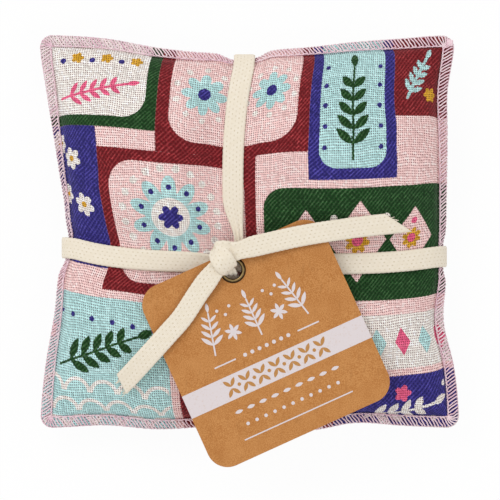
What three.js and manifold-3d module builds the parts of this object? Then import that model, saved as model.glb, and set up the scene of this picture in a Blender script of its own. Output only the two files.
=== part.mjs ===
// Drawer sachet: a sewn linen pouch filled with lavender, tied with cotton tape that holds a swing tag.
// Millimetres, +Z up. The sachet lies flat, and the origin is on the ground under the outline's middle.

import * as THREE from 'three';
import Module from 'manifold-3d';
import { mergeVertices } from 'three/addons/utils/BufferGeometryUtils.js';

// Pouch, measured from corner to corner over the overlocked edge. Between the tapes its back bulges in four
// places, left ones first and the lower one of each first, and each adds its own rise to the back's crown.
const pouchWidth = 128;
const pouchDepth = 120;
const seamHeight = 14;
const cornerHeight = 9.5;
const frontCrown = 17.2;
const backCrown = 16.4;
const backBulges = [[3.8, 1.3], [2.5, 0.1]];
const fabricThickness = 0.5;
const seamAllowance = 2.8;
const cornerCut = 1.2;
const groundCut = 0.7;

// How far in each side's seam lies at even places from its lower or left end to the other, how deep the tape
// nips it, and the angle by which its seam folds down. Angles are in radians.
const sides = {
  left: { drawn: [0, 1.4, 3.6, 4.5, 6.1, 4.6, 3, 1.4, -0.2], nip: 1.4, foldAngle: 1.1 },
  right: { drawn: [0, 1.4, 4.4, 3.1, 3.1, 3.1, 3.2, 3.4, 1.5], nip: 0.3, foldAngle: 0.8 },
  top: { drawn: [0.5, 1.5, 4.1, 5.3, 4.4, 3.6, 2.3, 1.5, 0.6], nip: 1.5, foldAngle: 0.8 },
  bottom: { drawn: [-0.6, 0.1, -1.2, -0.5, 0.6, -1.7, 0.7, 0, -0.6], nip: 0.5, foldAngle: 0.6 },
};
const tapeFoldAngle = 1.12;

// Tape, the channels that it presses into the pouch, and its route over the front
const tapeWidth = 6.3;
const tapeThickness = 0.7;
const frontPress = 7.6;
const backPress = 7.4;
const channelSlope = 11;
const nipSlope = 3.5;
const acrossRoute = { middle: -9, slope: -1.6, lift: 2.7 };
const downRoute = { middle: -4.8, slope: 0.2, lift: 3 };
const gatheredWidth = 2.6;
const gatherLength = 14;
const gatherAside = 1.4;

// Fits: running clearance between pieces, and the smaller one of a set eyelet
const clearance = 0.3;
const eyeletSeat = 0.2;

// Overlock threads, laid on the seam allowance
const threadThickness = 0.4;
const threadClearance = 0.4;
const threadLip = 0.45;
const chainLength = 1.2;
const chainWidth = 1.4;
const chainTaperShare = 0.5;
const chainPlaceShare = 0.75;
const needleInnerShare = 0.04;
const needleOuterShare = 0.16;
const lowerInnerShare = 0.64;

// Swing tag and its eyelet, whose axis stands near the crossing of the tapes
const tagSide = 60;
const tagThickness = 0.6;
const tagCornerRadius = 6.5;
const eyeletSetback = 5.5;
const eyeletBore = 5.4;
const eyeletFlange = 8;
const eyeletWall = 0.3;
const eyeletRim = 0.4;
const eyeletAside = -0.4;
const eyeletBelow = 3.3;
const tagAngle = 0.426;
const tiltAngle = -0.02;
const footprintMargin = 1;
const swivelShare = 0.175;

// Knot over the tag's top edge: its heel goes down behind the edge to the band across
const knotWidth = 8.4;
const knotLength = 9.6;
const knotHeight = 4.6;
const knotBack = 5.6;
const knotAside = -0.4;
const knotAngle = -0.5;
const heelWidth = 4.6;
const heelLength = 4.4;
const edgeClearance = 1.1;
const strandWidth = 2.2;
const strandSides = 8;
const strandDrop = 2.6;
const strandBack = 0.7;
const strandAside = -0.5;

// Tails, as routes from the eyelet: along the tag's width, towards its top edge, and above its face.
// The places past the card are counted from its side, so that a tail droops clear of a card of any size
const tailLift = 0.3;
const tailInset = 2.5;
const rightTail = {
  towards: 1,
  overCard: [[4.5, 4.6, 1.6], [8.5, 4, 1.5], [13.9, 2.9, 1], [21, 1.4, 0.6], [27, -0.1, 0.5]],
  pastCard: [
    [1, -1.2, 0.3], [5, -2.4, -0.6], [8.5, -3.4, -1.6], [12.5, -4.7, -2.7], [17, -6.2, -3.8], [21.8, -7.8, -5.1],
  ],
  skew: 4,
};
const leftTail = {
  towards: -1,
  overCard: [[4.5, 2.3, 1.5], [8.4, 0.3, 1.2], [12.7, -2.2, 0.8], [19.8, -6.7, 0.6], [25.7, -9.4, 0.6]],
  pastCard: [
    [0, -11.3, 0.6], [3.2, -12.7, 0.2], [6.2, -14, -0.8], [9.2, -15.3, -2.3], [12.2, -16.6, -4.2],
    [15.1, -17.8, -6.3],
  ],
  skew: -1.4,
};

// Shape of the crown and of the folded seam, and how finely the panels are divided
const crownPowerShare = 2.2;
const crownEaseShare = 0.5;
const foldPowerShare = 1.4;
const wanderPowerShare = 3;
const cornerPowerShare = 2;
const spreadShare = 0.5;
const panelSteps = 10;
const fillingInset = 2;
const roundSteps = 40;

const wasm = await Module();
wasm.setup();

const group = new THREE.Group();
const pouch = new THREE.Group();
const tagFrame = new THREE.Group();
group.add(pouch);
pouch.add(tagFrame);

const materials = {
  linen: new THREE.MeshStandardMaterial({ color: '#efc2c3', roughness: 0.9, metalness: 0 }),
  thread: new THREE.MeshStandardMaterial({ color: '#e9bfc9', roughness: 0.7, metalness: 0 }),
  lavender: new THREE.MeshStandardMaterial({ color: '#6f6585', roughness: 0.95, metalness: 0 }),
  tape: new THREE.MeshStandardMaterial({ color: '#f5ebd3', roughness: 0.85, metalness: 0 }),
  kraft: new THREE.MeshStandardMaterial({ color: '#c08a4e', roughness: 0.8, metalness: 0 }),
  brass: new THREE.MeshStandardMaterial({ color: '#8a6f45', roughness: 0.35, metalness: 1 }),
};

function addPiece(parent, name, geometry, material) {
  const own = material.clone();
  own.name = name;
  const mesh = new THREE.Mesh(geometry, own);
  mesh.name = name;
  parent.add(mesh);
  return mesh;
}

function mix(from, to, share) {
  return from + (to - from) * share;
}

// A bell that is 1 over half the tape's width and falls off within the slope given
function bell(distance, slope) {
  const beyond = Math.max(0, Math.abs(distance) - tapeWidth / 2);
  return Math.exp(-((beyond / slope) ** 2));
}

// Places across the pouch run from -1 at one seam to 1 at the other. The tape's lines are among them.
const overlockedWidth = seamAllowance + threadClearance + threadLip;
const seamHalfWidth = pouchWidth / 2 - overlockedWidth;
const seamHalfDepth = pouchDepth / 2 - overlockedWidth;
const downShare = downRoute.middle / seamHalfWidth;
const acrossShare = acrossRoute.middle / seamHalfDepth;

function panelLines(bandShare, bandHalfShare) {
  const lines = [bandShare - bandHalfShare, bandShare, bandShare + bandHalfShare];
  for (let k = 1; k <= panelSteps; k += 1) {
    const reach = mix(k / panelSteps, THREE.MathUtils.smoothstep(k, 0, panelSteps), spreadShare);
    lines.push(mix(bandShare + bandHalfShare, 1, reach));
    lines.unshift(mix(bandShare - bandHalfShare, -1, reach));
  }
  return lines;
}

const bandHalf = tapeWidth / 2 + clearance;
const uLines = panelLines(downShare, bandHalf / seamHalfWidth);
const vLines = panelLines(acrossShare, bandHalf / seamHalfDepth);
const lastLine = uLines.length - 1;
const bandLine = panelSteps + 1;

function acrossY(u) {
  return acrossRoute.middle + acrossRoute.slope * u + acrossRoute.lift * Math.abs(u) ** wanderPowerShare;
}

function downX(v) {
  return downRoute.middle + downRoute.slope * v + downRoute.lift * Math.abs(v) ** wanderPowerShare;
}

// How far a side is drawn in at a place along it, on a smooth curve through its values
function drawnIn({ drawn }, place) {
  const last = drawn.length - 1;
  const along = ((place + 1) / 2) * last;
  const first = Math.min(Math.floor(along), last - 1);
  const t = along - first;
  const [before, start, end, after] = [-1, 0, 1, 2].map((step) => (
    drawn[THREE.MathUtils.clamp(first + step, 0, last)]
  ));
  const curve = (2 * before - 5 * start + 4 * end - after) * t + (3 * start - before - 3 * end + after) * t * t;
  return start + (t / 2) * (end - before + curve);
}

// How strongly the tape across or the tape down holds a place
function nearAcross(v) {
  return bell(v * seamHalfDepth - acrossRoute.middle, nipSlope);
}

function nearDown(u) {
  return bell(u * seamHalfWidth - downRoute.middle, nipSlope);
}

// Plan of a place on the sewn area
function planX(u, v) {
  const side = u < 0 ? sides.left : sides.right;
  const drawn = drawnIn(side, v) + side.nip * nearAcross(v);
  const wander = (downX(v) - downShare * seamHalfWidth) * (1 - u * u);
  return u * (seamHalfWidth - drawn * Math.abs(u)) + wander;
}

function planY(u, v) {
  const side = v < 0 ? sides.bottom : sides.top;
  const drawn = drawnIn(side, u) + side.nip * nearDown(u);
  const wander = (acrossY(u) - acrossShare * seamHalfDepth) * (1 - v * v);
  return v * (seamHalfDepth - drawn * Math.abs(v)) + wander;
}

function seamZ(u, v) {
  return mix(seamHeight, cornerHeight, Math.abs(u * v) ** cornerPowerShare);
}

function fullness(u, v) {
  const across = Math.max(0, 1 - Math.abs(u) ** crownPowerShare) ** crownEaseShare;
  const along = Math.max(0, 1 - Math.abs(v) ** crownPowerShare) ** crownEaseShare;
  return across * along;
}

function channel(u, v) {
  const down = bell(u * seamHalfWidth - downShare * seamHalfWidth, channelSlope);
  const across = bell(v * seamHalfDepth - acrossShare * seamHalfDepth, channelSlope);
  return 1 - (1 - down) * (1 - across);
}

// The seam allowance folds down along its side, and most under the tape
function seamFold(side, place, nearTape) {
  return mix(side.foldAngle * (1 - Math.abs(place) ** foldPowerShare), tapeFoldAngle, nearTape);
}

// The middle plane of the seam allowance at a grid place, with the way out and the way up off it
function seamPlace(i, j) {
  const column = Math.min(Math.max(i - 1, 0), lastLine);
  const row = Math.min(Math.max(j - 1, 0), lastLine);
  const u = uLines[column];
  const v = vLines[row];
  const outX = column === 0 ? -1 : Number(column === lastLine);
  const outY = row === 0 ? -1 : Number(row === lastLine);
  const foldX = seamFold(outX < 0 ? sides.left : sides.right, v, nearAcross(v));
  const foldY = seamFold(outY < 0 ? sides.bottom : sides.top, u, nearDown(u));
  const fold = outX !== 0 && outY !== 0 ? 0 : Math.abs(outX) * foldX + Math.abs(outY) * foldY;
  const out = new THREE.Vector3(outX * Math.cos(fold), outY * Math.cos(fold), -Math.sin(fold));
  const up = new THREE.Vector3(outX * Math.sin(fold), outY * Math.sin(fold), Math.cos(fold));
  const seam = new THREE.Vector3(planX(u, v), planY(u, v), seamZ(u, v));
  return { seam, out, up, corner: outX !== 0 && outY !== 0 };
}

// A place on the seam allowance: how far out over it, and how far off its middle plane
function allowancePoint(i, j, reach, off) {
  const { seam, out, up, corner } = seamPlace(i, j);
  const cut = corner ? cornerCut * Math.max(0, reach / seamAllowance) : 0;
  return seam.clone().addScaledVector(out, reach - cut).addScaledVector(up, off);
}

// Outer face of the front (side 1) or back (side -1) panel. The outermost rows lie on the raw edge.
const lastIndex = lastLine + 2;
const sheetOffset = clearance / 2 + fabricThickness;

function panelPoint(side, i, j) {
  const onRim = i === 0 || j === 0 || i === lastIndex || j === lastIndex;
  const onSeam = i === 1 || j === 1 || i === lastIndex - 1 || j === lastIndex - 1;
  if (onRim) {
    return allowancePoint(i, j, seamAllowance, side * sheetOffset);
  }
  if (onSeam) {
    return allowancePoint(i, j, 0, side * sheetOffset);
  }
  const u = uLines[i - 1];
  const v = vLines[j - 1];
  const crown = side > 0 ? frontCrown : backCrown;
  const press = side > 0 ? frontPress : backPress;
  const bulge = side > 0 ? 0 : backBulges[Number(u > downShare)][Number(v > acrossShare)];
  const pressed = channel(u, v);
  const rise = sheetOffset + fullness(u, v) * (crown - press * pressed + bulge * (1 - pressed));
  return new THREE.Vector3(planX(u, v), planY(u, v), seamZ(u, v) + side * rise);
}

function panelGrid(side) {
  const grid = [];
  for (let i = 0; i <= lastIndex; i += 1) {
    const column = [];
    for (let j = 0; j <= lastIndex; j += 1) {
      column.push(panelPoint(side, i, j));
    }
    grid.push(column);
  }
  return grid;
}

const frontGrid = panelGrid(1);
const backGrid = panelGrid(-1);

// The pouch lies on the four bulges of its back panel, and the ground flattens each of them
const bulgeLows = [Infinity, Infinity, Infinity, Infinity];
backGrid.forEach((column, i) => column.forEach((point, j) => {
  const bulge = Number(i > bandLine + 1) * 2 + Number(j > bandLine + 1);
  bulgeLows[bulge] = Math.min(bulgeLows[bulge], point.z);
}));
const groundZ = Math.max(...bulgeLows) + groundCut;
for (const point of backGrid.flat()) {
  point.z = Math.max(point.z, groundZ);
}

// Normals of a grid of points, on the side given
function gridNormals(grid, side) {
  const last = grid.length - 1;
  return grid.map((column, i) => column.map((point, j) => {
    const alongU = grid[Math.min(i + 1, last)][j].clone().sub(grid[Math.max(i - 1, 0)][j]);
    const alongV = grid[i][Math.min(j + 1, last)].clone().sub(grid[i][Math.max(j - 1, 0)]);
    return alongU.cross(alongV).normalize().multiplyScalar(side);
  }));
}

function offsetGrid(grid, normals, distance) {
  return grid.map((column, i) => column.map((point, j) => (
    point.clone().addScaledVector(normals[i][j], distance)
  )));
}

function solidFrom(points, triangles) {
  const geometry = new THREE.BufferGeometry();
  const places = points.flatMap((point) => [point.x, point.y, point.z]);
  geometry.setAttribute('position', new THREE.Float32BufferAttribute(places, 3));
  geometry.setIndex(triangles);
  geometry.computeVertexNormals();
  return geometry;
}

// Grid places round a square of the grid, anticlockwise seen from above
function ringPlaces(first, last) {
  const bottom = [];
  const right = [];
  const top = [];
  const left = [];
  for (let k = 0; k < last - first; k += 1) {
    bottom.push([first + k, first]);
    right.push([last, first + k]);
    top.push([last - k, last]);
    left.push([first, last - k]);
  }
  return [...bottom, ...right, ...top, ...left];
}

// A closed solid between an upper and a lower grid of the same size
function solidBetween(upper, lower) {
  const size = upper.length;
  const count = size * size;
  const points = [...upper.flat(), ...lower.flat()];
  const triangles = [];
  const at = (i, j) => i * size + j;
  for (let i = 0; i < size - 1; i += 1) {
    for (let j = 0; j < size - 1; j += 1) {
      const [a, b, c, d] = [at(i, j), at(i + 1, j), at(i + 1, j + 1), at(i, j + 1)];
      triangles.push(a, b, c, a, c, d);
      triangles.push(count + a, count + c, count + b, count + a, count + d, count + c);
    }
  }
  const rim = ringPlaces(0, size - 1).map(([i, j]) => at(i, j));
  rim.forEach((a, k) => {
    const b = rim[(k + 1) % rim.length];
    triangles.push(count + a, count + b, b, count + a, b, a);
  });
  return solidFrom(points, triangles);
}

const frontNormals = gridNormals(frontGrid, 1);
const backNormals = gridNormals(backGrid, -1);
const frontInner = offsetGrid(frontGrid, frontNormals, -fabricThickness);
const backInner = offsetGrid(backGrid, backNormals, -fabricThickness);
addPiece(pouch, 'front_panel', solidBetween(frontGrid, frontInner), materials.linen);
addPiece(pouch, 'back_panel', solidBetween(backInner, backGrid), materials.linen);

// Filling, within the seam by the rows left out
function innerRows(grid) {
  return grid.slice(fillingInset, grid.length - fillingInset)
    .map((column) => column.slice(fillingInset, column.length - fillingInset));
}

const fillingTop = innerRows(offsetGrid(frontGrid, frontNormals, -fabricThickness - clearance));
const fillingBottom = innerRows(offsetGrid(backGrid, backNormals, -fabricThickness - clearance));
addPiece(pouch, 'lavender_filling', solidBetween(fillingTop, fillingBottom), materials.lavender);

// A solid swept through stations, each a section of the same number of points; an open one gets end faces
function sweep(stations, closed) {
  const size = stations[0].length;
  const points = stations.flat();
  const triangles = [];
  const turns = closed ? stations.length : stations.length - 1;
  for (let k = 0; k < turns; k += 1) {
    const next = (k + 1) % stations.length;
    for (let m = 0; m < size; m += 1) {
      const n = (m + 1) % size;
      const [a, b, c, d] = [k * size + m, k * size + n, next * size + n, next * size + m];
      triangles.push(a, b, c, a, c, d);
    }
  }
  if (!closed) {
    const end = (stations.length - 1) * size;
    for (let m = 1; m < size - 1; m += 1) {
      triangles.push(0, m + 1, m);
      triangles.push(end, end + m, end + m + 1);
    }
  }
  return solidFrom(points, triangles);
}

// An overlock thread as a ring whose section is given as [out over the allowance, off its middle plane]
function threadRing(section) {
  const stations = ringPlaces(1, lastIndex - 1).map(([i, j]) => (
    section.map(([reach, off]) => allowancePoint(i, j, reach, off))
  ));
  return sweep(stations, true);
}

const threadBase = sheetOffset + threadClearance;
const threadTop = threadBase + threadThickness;
const needleIn = seamAllowance * needleInnerShare;
const needleOut = seamAllowance * needleOuterShare;
const looperIn = needleOut + clearance;
const lowerIn = seamAllowance * lowerInnerShare;
const edgeIn = seamAllowance + threadClearance;
addPiece(pouch, 'needle_thread', threadRing([
  [needleIn, threadBase], [needleIn, threadTop], [needleOut, threadTop], [needleOut, threadBase],
]), materials.thread);
addPiece(pouch, 'upper_looper_thread', threadRing([
  [looperIn, threadBase], [looperIn, threadTop], [seamAllowance, threadTop], [seamAllowance, threadBase],
]), materials.thread);
addPiece(pouch, 'lower_looper_thread', threadRing([
  [lowerIn, -threadTop], [lowerIn, -threadBase], [edgeIn, -threadBase], [edgeIn, sheetOffset],
  [overlockedWidth, sheetOffset], [overlockedWidth, -threadTop],
]), materials.thread);

// Chain of thread left where the overlocking ended, at the top right corner, pointing out to the right
const chainCorner = allowancePoint(lastIndex, lastIndex, overlockedWidth, 0);
const chainBelow = allowancePoint(lastIndex, lastIndex - 2, overlockedWidth, 0);
const chainStart = chainBelow.lerp(chainCorner, chainPlaceShare);
chainStart.x += clearance * 2;
const chain = [0, 1].map((share) => {
  const half = chainWidth * mix(1, chainTaperShare, share) / 2;
  return [[1, -1], [1, 1], [-1, 1], [-1, -1]].map(([side, rise]) => (
    chainStart.clone().add(new THREE.Vector3(chainLength * share, side * half, rise * half))
  ));
});
addPiece(pouch, 'overlock_chain_end', sweep(chain, false), materials.thread);

// The route of a taut tape is the tight loop round a section of the pouch: s runs along it, z up, t aside
const bandRows = [bandLine, bandLine + 1, bandLine + 2];

function toSection(along, point, middle) {
  return along === 'x' ? { s: point.x, z: point.z, t: middle.y } : { s: point.y, z: point.z, t: middle.x };
}

function sectionPoints(along) {
  const list = [];
  const place = (k, row) => (along === 'x' ? [k, row] : [row, k]);
  for (const side of [1, -1]) {
    const grid = side > 0 ? frontGrid : backGrid;
    for (let k = 2; k < lastIndex - 1; k += 1) {
      const three = bandRows.map((row) => place(k, row)).map(([i, j]) => grid[i][j]);
      const middle = toSection(along, three[1], three[1]);
      middle.z = side * Math.max(...three.map((p) => side * p.z));
      list.push(middle);
    }
  }
  for (const k of [0, lastIndex]) {
    const middle = allowancePoint(...place(k, bandLine + 1), 0, 0);
    for (const row of bandRows) {
      for (const reach of [0, overlockedWidth]) {
        for (const off of [threadTop, -threadTop]) {
          list.push(toSection(along, allowancePoint(...place(k, row), reach, off), middle));
        }
      }
    }
  }
  return list;
}

function turnOf(a, b, c) {
  return (b.s - a.s) * (c.z - a.z) - (b.z - a.z) * (c.s - a.s);
}

// Convex loop round the points, clockwise in s and z: over the top from low to high s, back below
function tightLoop(points) {
  const sorted = [...points].sort((a, b) => a.s - b.s || a.z - b.z);
  const half = (list) => {
    const kept = [];
    for (const p of list) {
      while (kept.length > 1 && turnOf(kept[kept.length - 2], kept[kept.length - 1], p) >= 0) {
        kept.pop();
      }
      kept.push(p);
    }
    return kept.slice(0, -1);
  };
  return [...half(sorted), ...half([...sorted].reverse())];
}

// The same loop further out by a distance
function loopOffset(loop, distance) {
  const outward = (a, b) => {
    const length = Math.hypot(b.s - a.s, b.z - a.z);
    return [-(b.z - a.z) / length, (b.s - a.s) / length];
  };
  return loop.map((p, k) => {
    const [s1, z1] = outward(loop[(k + loop.length - 1) % loop.length], p);
    const [s2, z2] = outward(p, loop[(k + 1) % loop.length]);
    const stretch = distance / (1 + s1 * s2 + z1 * z2);
    return { s: p.s + (s1 + s2) * stretch, z: p.z + (z1 + z2) * stretch, t: p.t };
  });
}

function tapeStation(along, inner, outer, width) {
  const corner = (p, side) => (along === 'x'
    ? new THREE.Vector3(p.s, p.t + side * width / 2, p.z)
    : new THREE.Vector3(p.t - side * width / 2, p.s, p.z));
  return [corner(inner, -1), corner(inner, 1), corner(outer, 1), corner(outer, -1)];
}

const acrossLoop = tightLoop(sectionPoints('x'));
const acrossInner = loopOffset(acrossLoop, clearance);
const acrossOuter = loopOffset(acrossLoop, clearance + tapeThickness);
const acrossStations = acrossInner.map((p, k) => tapeStation('x', p, acrossOuter[k], tapeWidth));
addPiece(pouch, 'tape_across', sweep(acrossStations, true), materials.tape);

// On the back the band down crosses outside the band across
const crossing = new THREE.Vector3(downX(acrossShare), acrossY(downShare), 0);
const nearCrossing = acrossOuter.filter((p) => Math.abs(p.s - crossing.x) < tapeWidth * 2);
const crossBottom = Math.min(...nearCrossing.map((p) => p.z));
const crossTop = Math.max(...acrossOuter.map((p) => p.z));
const downPoints = sectionPoints('y');
for (const side of [-1, 1]) {
  downPoints.push({ s: crossing.y + side * bandHalf, z: crossBottom, t: crossing.x });
}
const downLoop = tightLoop(downPoints);
const downInner = loopOffset(downLoop, clearance);
const downOuter = loopOffset(downLoop, clearance + tapeThickness);

// The band down runs from the knot over the top, round the back and up to the eyelet under the tag
const heading = new THREE.Vector2(Math.cos(tagAngle), Math.sin(tagAngle));
const eyeletAcross = downRoute.middle + eyeletAside;
const eyeletAlong = acrossRoute.middle - eyeletBelow;
const knotReach = eyeletSetback + edgeClearance + heelLength;
const downStart = eyeletAlong + knotReach * heading.x + clearance;
const downEnd = eyeletAlong - strandWidth / 2 - clearance * 2;

function cutPoint(loop, s) {
  const k = loop.findIndex((p, n) => p.s <= s && loop[(n + 1) % loop.length].s > s);
  const [a, b] = [loop[k], loop[(k + 1) % loop.length]];
  const share = (s - a.s) / (b.s - a.s);
  return { s, z: mix(a.z, b.z, share), t: mix(a.t, b.t, share) };
}

function openRun(loop, start, end) {
  const top = loop.slice(0, loop.findIndex((p, k) => k > 0 && loop[(k + 1) % loop.length].s < p.s) + 1);
  const bottom = loop.slice(top.length);
  return [
    cutPoint(loop, start), ...top.filter((p) => p.s > start + tapeThickness), ...bottom,
    ...top.filter((p) => p.s < end - tapeThickness), cutPoint(loop, end),
  ];
}

const downInnerRun = openRun(downInner, downStart, downEnd);
const downOuterRun = openRun(downOuter, downStart, downEnd);
const downStations = downInnerRun.map((p, k) => {
  const near = p.z > seamHeight && p.s >= downStart;
  const gathered = near ? Math.min(1, (p.s - downStart) / gatherLength) : 1;
  const aside = gatherAside * (1 - gathered);
  const [inner, outer] = [p, downOuterRun[k]].map((point) => ({ ...point, t: point.t + aside }));
  return tapeStation('y', inner, outer, mix(gatheredWidth, tapeWidth, gathered));
});
addPiece(pouch, 'tape_down', sweep(downStations, false), materials.tape);

// The tag lies on the highest places under it, turned and slightly tilted, with room for its swivel
const tagReachDown = tagSide - eyeletSetback;
const slope = Math.tan(tiltAngle);

function tagPlace(x, y) {
  const dx = x - eyeletAcross;
  const dy = y - eyeletAlong;
  return { across: dx * heading.x + dy * heading.y, back: dy * heading.x - dx * heading.y };
}

let tagLevel = crossTop + clearance;
const underTag = [...frontGrid.flat(), ...acrossStations.flat(), ...downStations.flat()];
const tagReach = Math.hypot(tagSide / 2, tagReachDown) + footprintMargin;
for (const point of underTag) {
  const { across, back } = tagPlace(point.x, point.y);
  const wide = Math.abs(across) < tagSide / 2 + Math.abs(back) * swivelShare + footprintMargin;
  const long = back < eyeletSetback + Math.abs(across) * swivelShare + footprintMargin;
  if (wide && long && Math.hypot(across, back) < tagReach) {
    tagLevel = Math.max(tagLevel, point.z + back * slope + clearance);
  }
}

tagFrame.position.set(eyeletAcross, eyeletAlong, tagLevel);
tagFrame.rotation.set(-tiltAngle, 0, tagAngle, 'ZXY');

// Card with its hole; the frame's origin is on its underside at the eyelet's axis
function roundedSquare(side, radius, top) {
  const half = side / 2;
  const shape = new THREE.Shape();
  shape.absarc(half - radius, top - radius, radius, 0, Math.PI / 2);
  shape.absarc(radius - half, top - radius, radius, Math.PI / 2, Math.PI);
  shape.absarc(radius - half, top - side + radius, radius, Math.PI, Math.PI * 1.5);
  shape.absarc(half - radius, top - side + radius, radius, Math.PI * 1.5, Math.PI * 2);
  return shape;
}

const barrelRadius = eyeletBore / 2 + eyeletWall;
const cardShape = roundedSquare(tagSide, tagCornerRadius, eyeletSetback);
const cardHole = new THREE.Path();
cardHole.absarc(0, 0, barrelRadius + eyeletSeat, 0, Math.PI * 2, true);
cardShape.holes.push(cardHole);
const card = new THREE.ExtrudeGeometry(cardShape, {
  depth: tagThickness,
  bevelEnabled: false,
  curveSegments: roundSteps / 4,
});
addPiece(tagFrame, 'tag_card', card, materials.kraft);

// Eyelet: a barrel with a flange on each face of the card
const flangeRadius = eyeletFlange / 2;
const boreRadius = eyeletBore / 2;
const eyeletLow = -eyeletSeat - eyeletRim;
const eyeletHigh = tagThickness + eyeletSeat + eyeletRim;
const eyeletProfile = [
  [boreRadius, eyeletLow],
  [flangeRadius, eyeletLow],
  [flangeRadius, -eyeletSeat],
  [barrelRadius, -eyeletSeat],
  [barrelRadius, tagThickness + eyeletSeat],
  [flangeRadius, tagThickness + eyeletSeat],
  [flangeRadius, eyeletHigh],
  [boreRadius, eyeletHigh],
  [boreRadius, eyeletLow],
].map(([radius, z]) => new THREE.Vector2(radius, z));
const eyelet = new THREE.LatheGeometry(eyeletProfile, roundSteps);
eyelet.rotateX(Math.PI / 2);
addPiece(tagFrame, 'tag_eyelet', eyelet, materials.brass);

// Knot: a rounded lump over the tag's top edge, with a heel behind the edge
function toManifold(geometry) {
  const bare = geometry.clone();
  bare.deleteAttribute('normal');
  bare.deleteAttribute('uv');
  const merged = mergeVertices(bare);
  const vertProperties = new Float32Array(merged.attributes.position.array);
  const triVerts = new Uint32Array(merged.index.array);
  return new wasm.Manifold(new wasm.Mesh({ numProp: 3, vertProperties, triVerts }));
}

function fromManifold(manifold) {
  const { vertProperties, triVerts, numProp } = manifold.getMesh();
  const points = [];
  for (let k = 0; k < vertProperties.length; k += numProp) {
    points.push(new THREE.Vector3(vertProperties[k], vertProperties[k + 1], vertProperties[k + 2]));
  }
  return solidFrom(points, Array.from(triVerts));
}

const knotFloor = eyeletHigh + clearance;
const lump = new THREE.SphereGeometry(1, roundSteps / 2, roundSteps / 4);
lump.scale(knotWidth / 2, knotLength / 2, knotHeight);
lump.rotateZ(knotAngle);
lump.translate(knotAside, knotBack, knotFloor);
const underLump = new THREE.BoxGeometry(knotWidth * 2, knotLength * 2, knotHeight * 2);
underLump.translate(knotAside, knotBack, knotFloor - knotHeight);
const heelBase = crossTop + clearance * 2 - tagLevel;
const heelTop = knotFloor + knotHeight / 2;
const heel = new THREE.BoxGeometry(heelWidth, heelLength, heelTop - heelBase);
heel.translate(knotAside, eyeletSetback + edgeClearance + heelLength / 2, (heelTop + heelBase) / 2);
const knot = toManifold(lump).subtract(toManifold(underLump)).add(toManifold(heel));
addPiece(tagFrame, 'tape_knot', fromManifold(knot), materials.tape);

// Strand of the tape, gathered, that comes up through the eyelet into the knot
const strandFoot = new THREE.Vector3(strandAside, -strandBack, -strandDrop);
const strandHead = new THREE.Vector3(strandAside, strandBack + clearance, knotFloor - clearance);
const strandStations = [strandFoot, strandHead].map((middle) => {
  const ring = [];
  for (let k = 0; k < strandSides; k += 1) {
    const angle = k / strandSides * Math.PI * 2;
    const aside = new THREE.Vector3(Math.cos(angle), Math.sin(angle), 0);
    ring.push(middle.clone().addScaledVector(aside, strandWidth / 2));
  }
  return ring;
});
addPiece(tagFrame, 'tape_strand', sweep(strandStations, false), materials.tape);

// Tails: flat tape along its route, its end cut on the skew
function tail(name, { towards, overCard, pastCard, skew }) {
  const cardHalf = tagSide / 2;
  const route = [
    ...overCard.filter(([across]) => across < cardHalf - tailInset),
    ...pastCard.map(([past, back, lift]) => [cardHalf + past, back, lift]),
  ];
  const middles = route.map(([across, back, lift]) => (
    new THREE.Vector3(towards * across, back, tagThickness + tailLift + tapeThickness / 2 + lift)));
  const stations = middles.map((middle, k) => {
    const ahead = middles[Math.min(k + 1, middles.length - 1)];
    const way = ahead.clone().sub(middles[Math.max(k - 1, 0)]).normalize();
    const aside = new THREE.Vector3(-way.y, way.x, 0).normalize();
    const up = way.clone().cross(aside).normalize();
    const corner = (side, rise) => middle.clone()
      .addScaledVector(aside, side * tapeWidth / 2)
      .addScaledVector(up, rise * tapeThickness / 2)
      .addScaledVector(way, k === middles.length - 1 ? -side * skew : 0);
    return [corner(1, -1), corner(1, 1), corner(-1, 1), corner(-1, -1)];
  });
  addPiece(tagFrame, name, sweep(stations, false), materials.tape);
}

tail('tape_tail_right', rightTail);
tail('tape_tail_left', leftTail);

// The whole stands on the ground, with its outline's middle over the origin
group.updateMatrixWorld(true);
const outline = new THREE.Box3().setFromObject(group, true);
const middleX = (outline.min.x + outline.max.x) / 2;
const middleY = (outline.min.y + outline.max.y) / 2;
group.position.set(-middleX, -middleY, -outline.min.z);

export default group;
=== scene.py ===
"""Drawer sachet: a printed linen pouch of dried lavender, tied with herringbone tape that holds a kraft tag."""

import logging
import math
from dataclasses import dataclass, field
from enum import Enum
from functools import partial
from typing import Any

import bpy
import mathutils
import numpy as np
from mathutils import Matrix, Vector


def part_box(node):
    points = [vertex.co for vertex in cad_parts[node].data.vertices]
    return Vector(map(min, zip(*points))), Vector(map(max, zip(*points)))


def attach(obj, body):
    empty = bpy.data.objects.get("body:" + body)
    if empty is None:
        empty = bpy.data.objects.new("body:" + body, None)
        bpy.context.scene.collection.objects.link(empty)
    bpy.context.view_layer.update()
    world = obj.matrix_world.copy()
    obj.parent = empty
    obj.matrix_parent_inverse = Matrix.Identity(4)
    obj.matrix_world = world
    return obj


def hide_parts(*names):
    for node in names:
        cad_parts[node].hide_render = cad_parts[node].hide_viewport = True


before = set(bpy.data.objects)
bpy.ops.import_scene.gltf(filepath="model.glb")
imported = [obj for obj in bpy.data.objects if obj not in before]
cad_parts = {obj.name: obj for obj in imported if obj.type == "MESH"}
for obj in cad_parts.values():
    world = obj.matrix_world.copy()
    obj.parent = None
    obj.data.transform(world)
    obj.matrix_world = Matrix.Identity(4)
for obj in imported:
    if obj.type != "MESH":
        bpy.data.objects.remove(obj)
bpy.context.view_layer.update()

LOG = logging.getLogger("sachet")
MM = 0.001
TAU = 2.0 * math.pi
TINY = 1e-9  # keeps a division by a length of zero from failing
CURVE_STEPS = 12  # between two points of a curve, before it is spaced evenly


# ---- shared shape helpers


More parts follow.
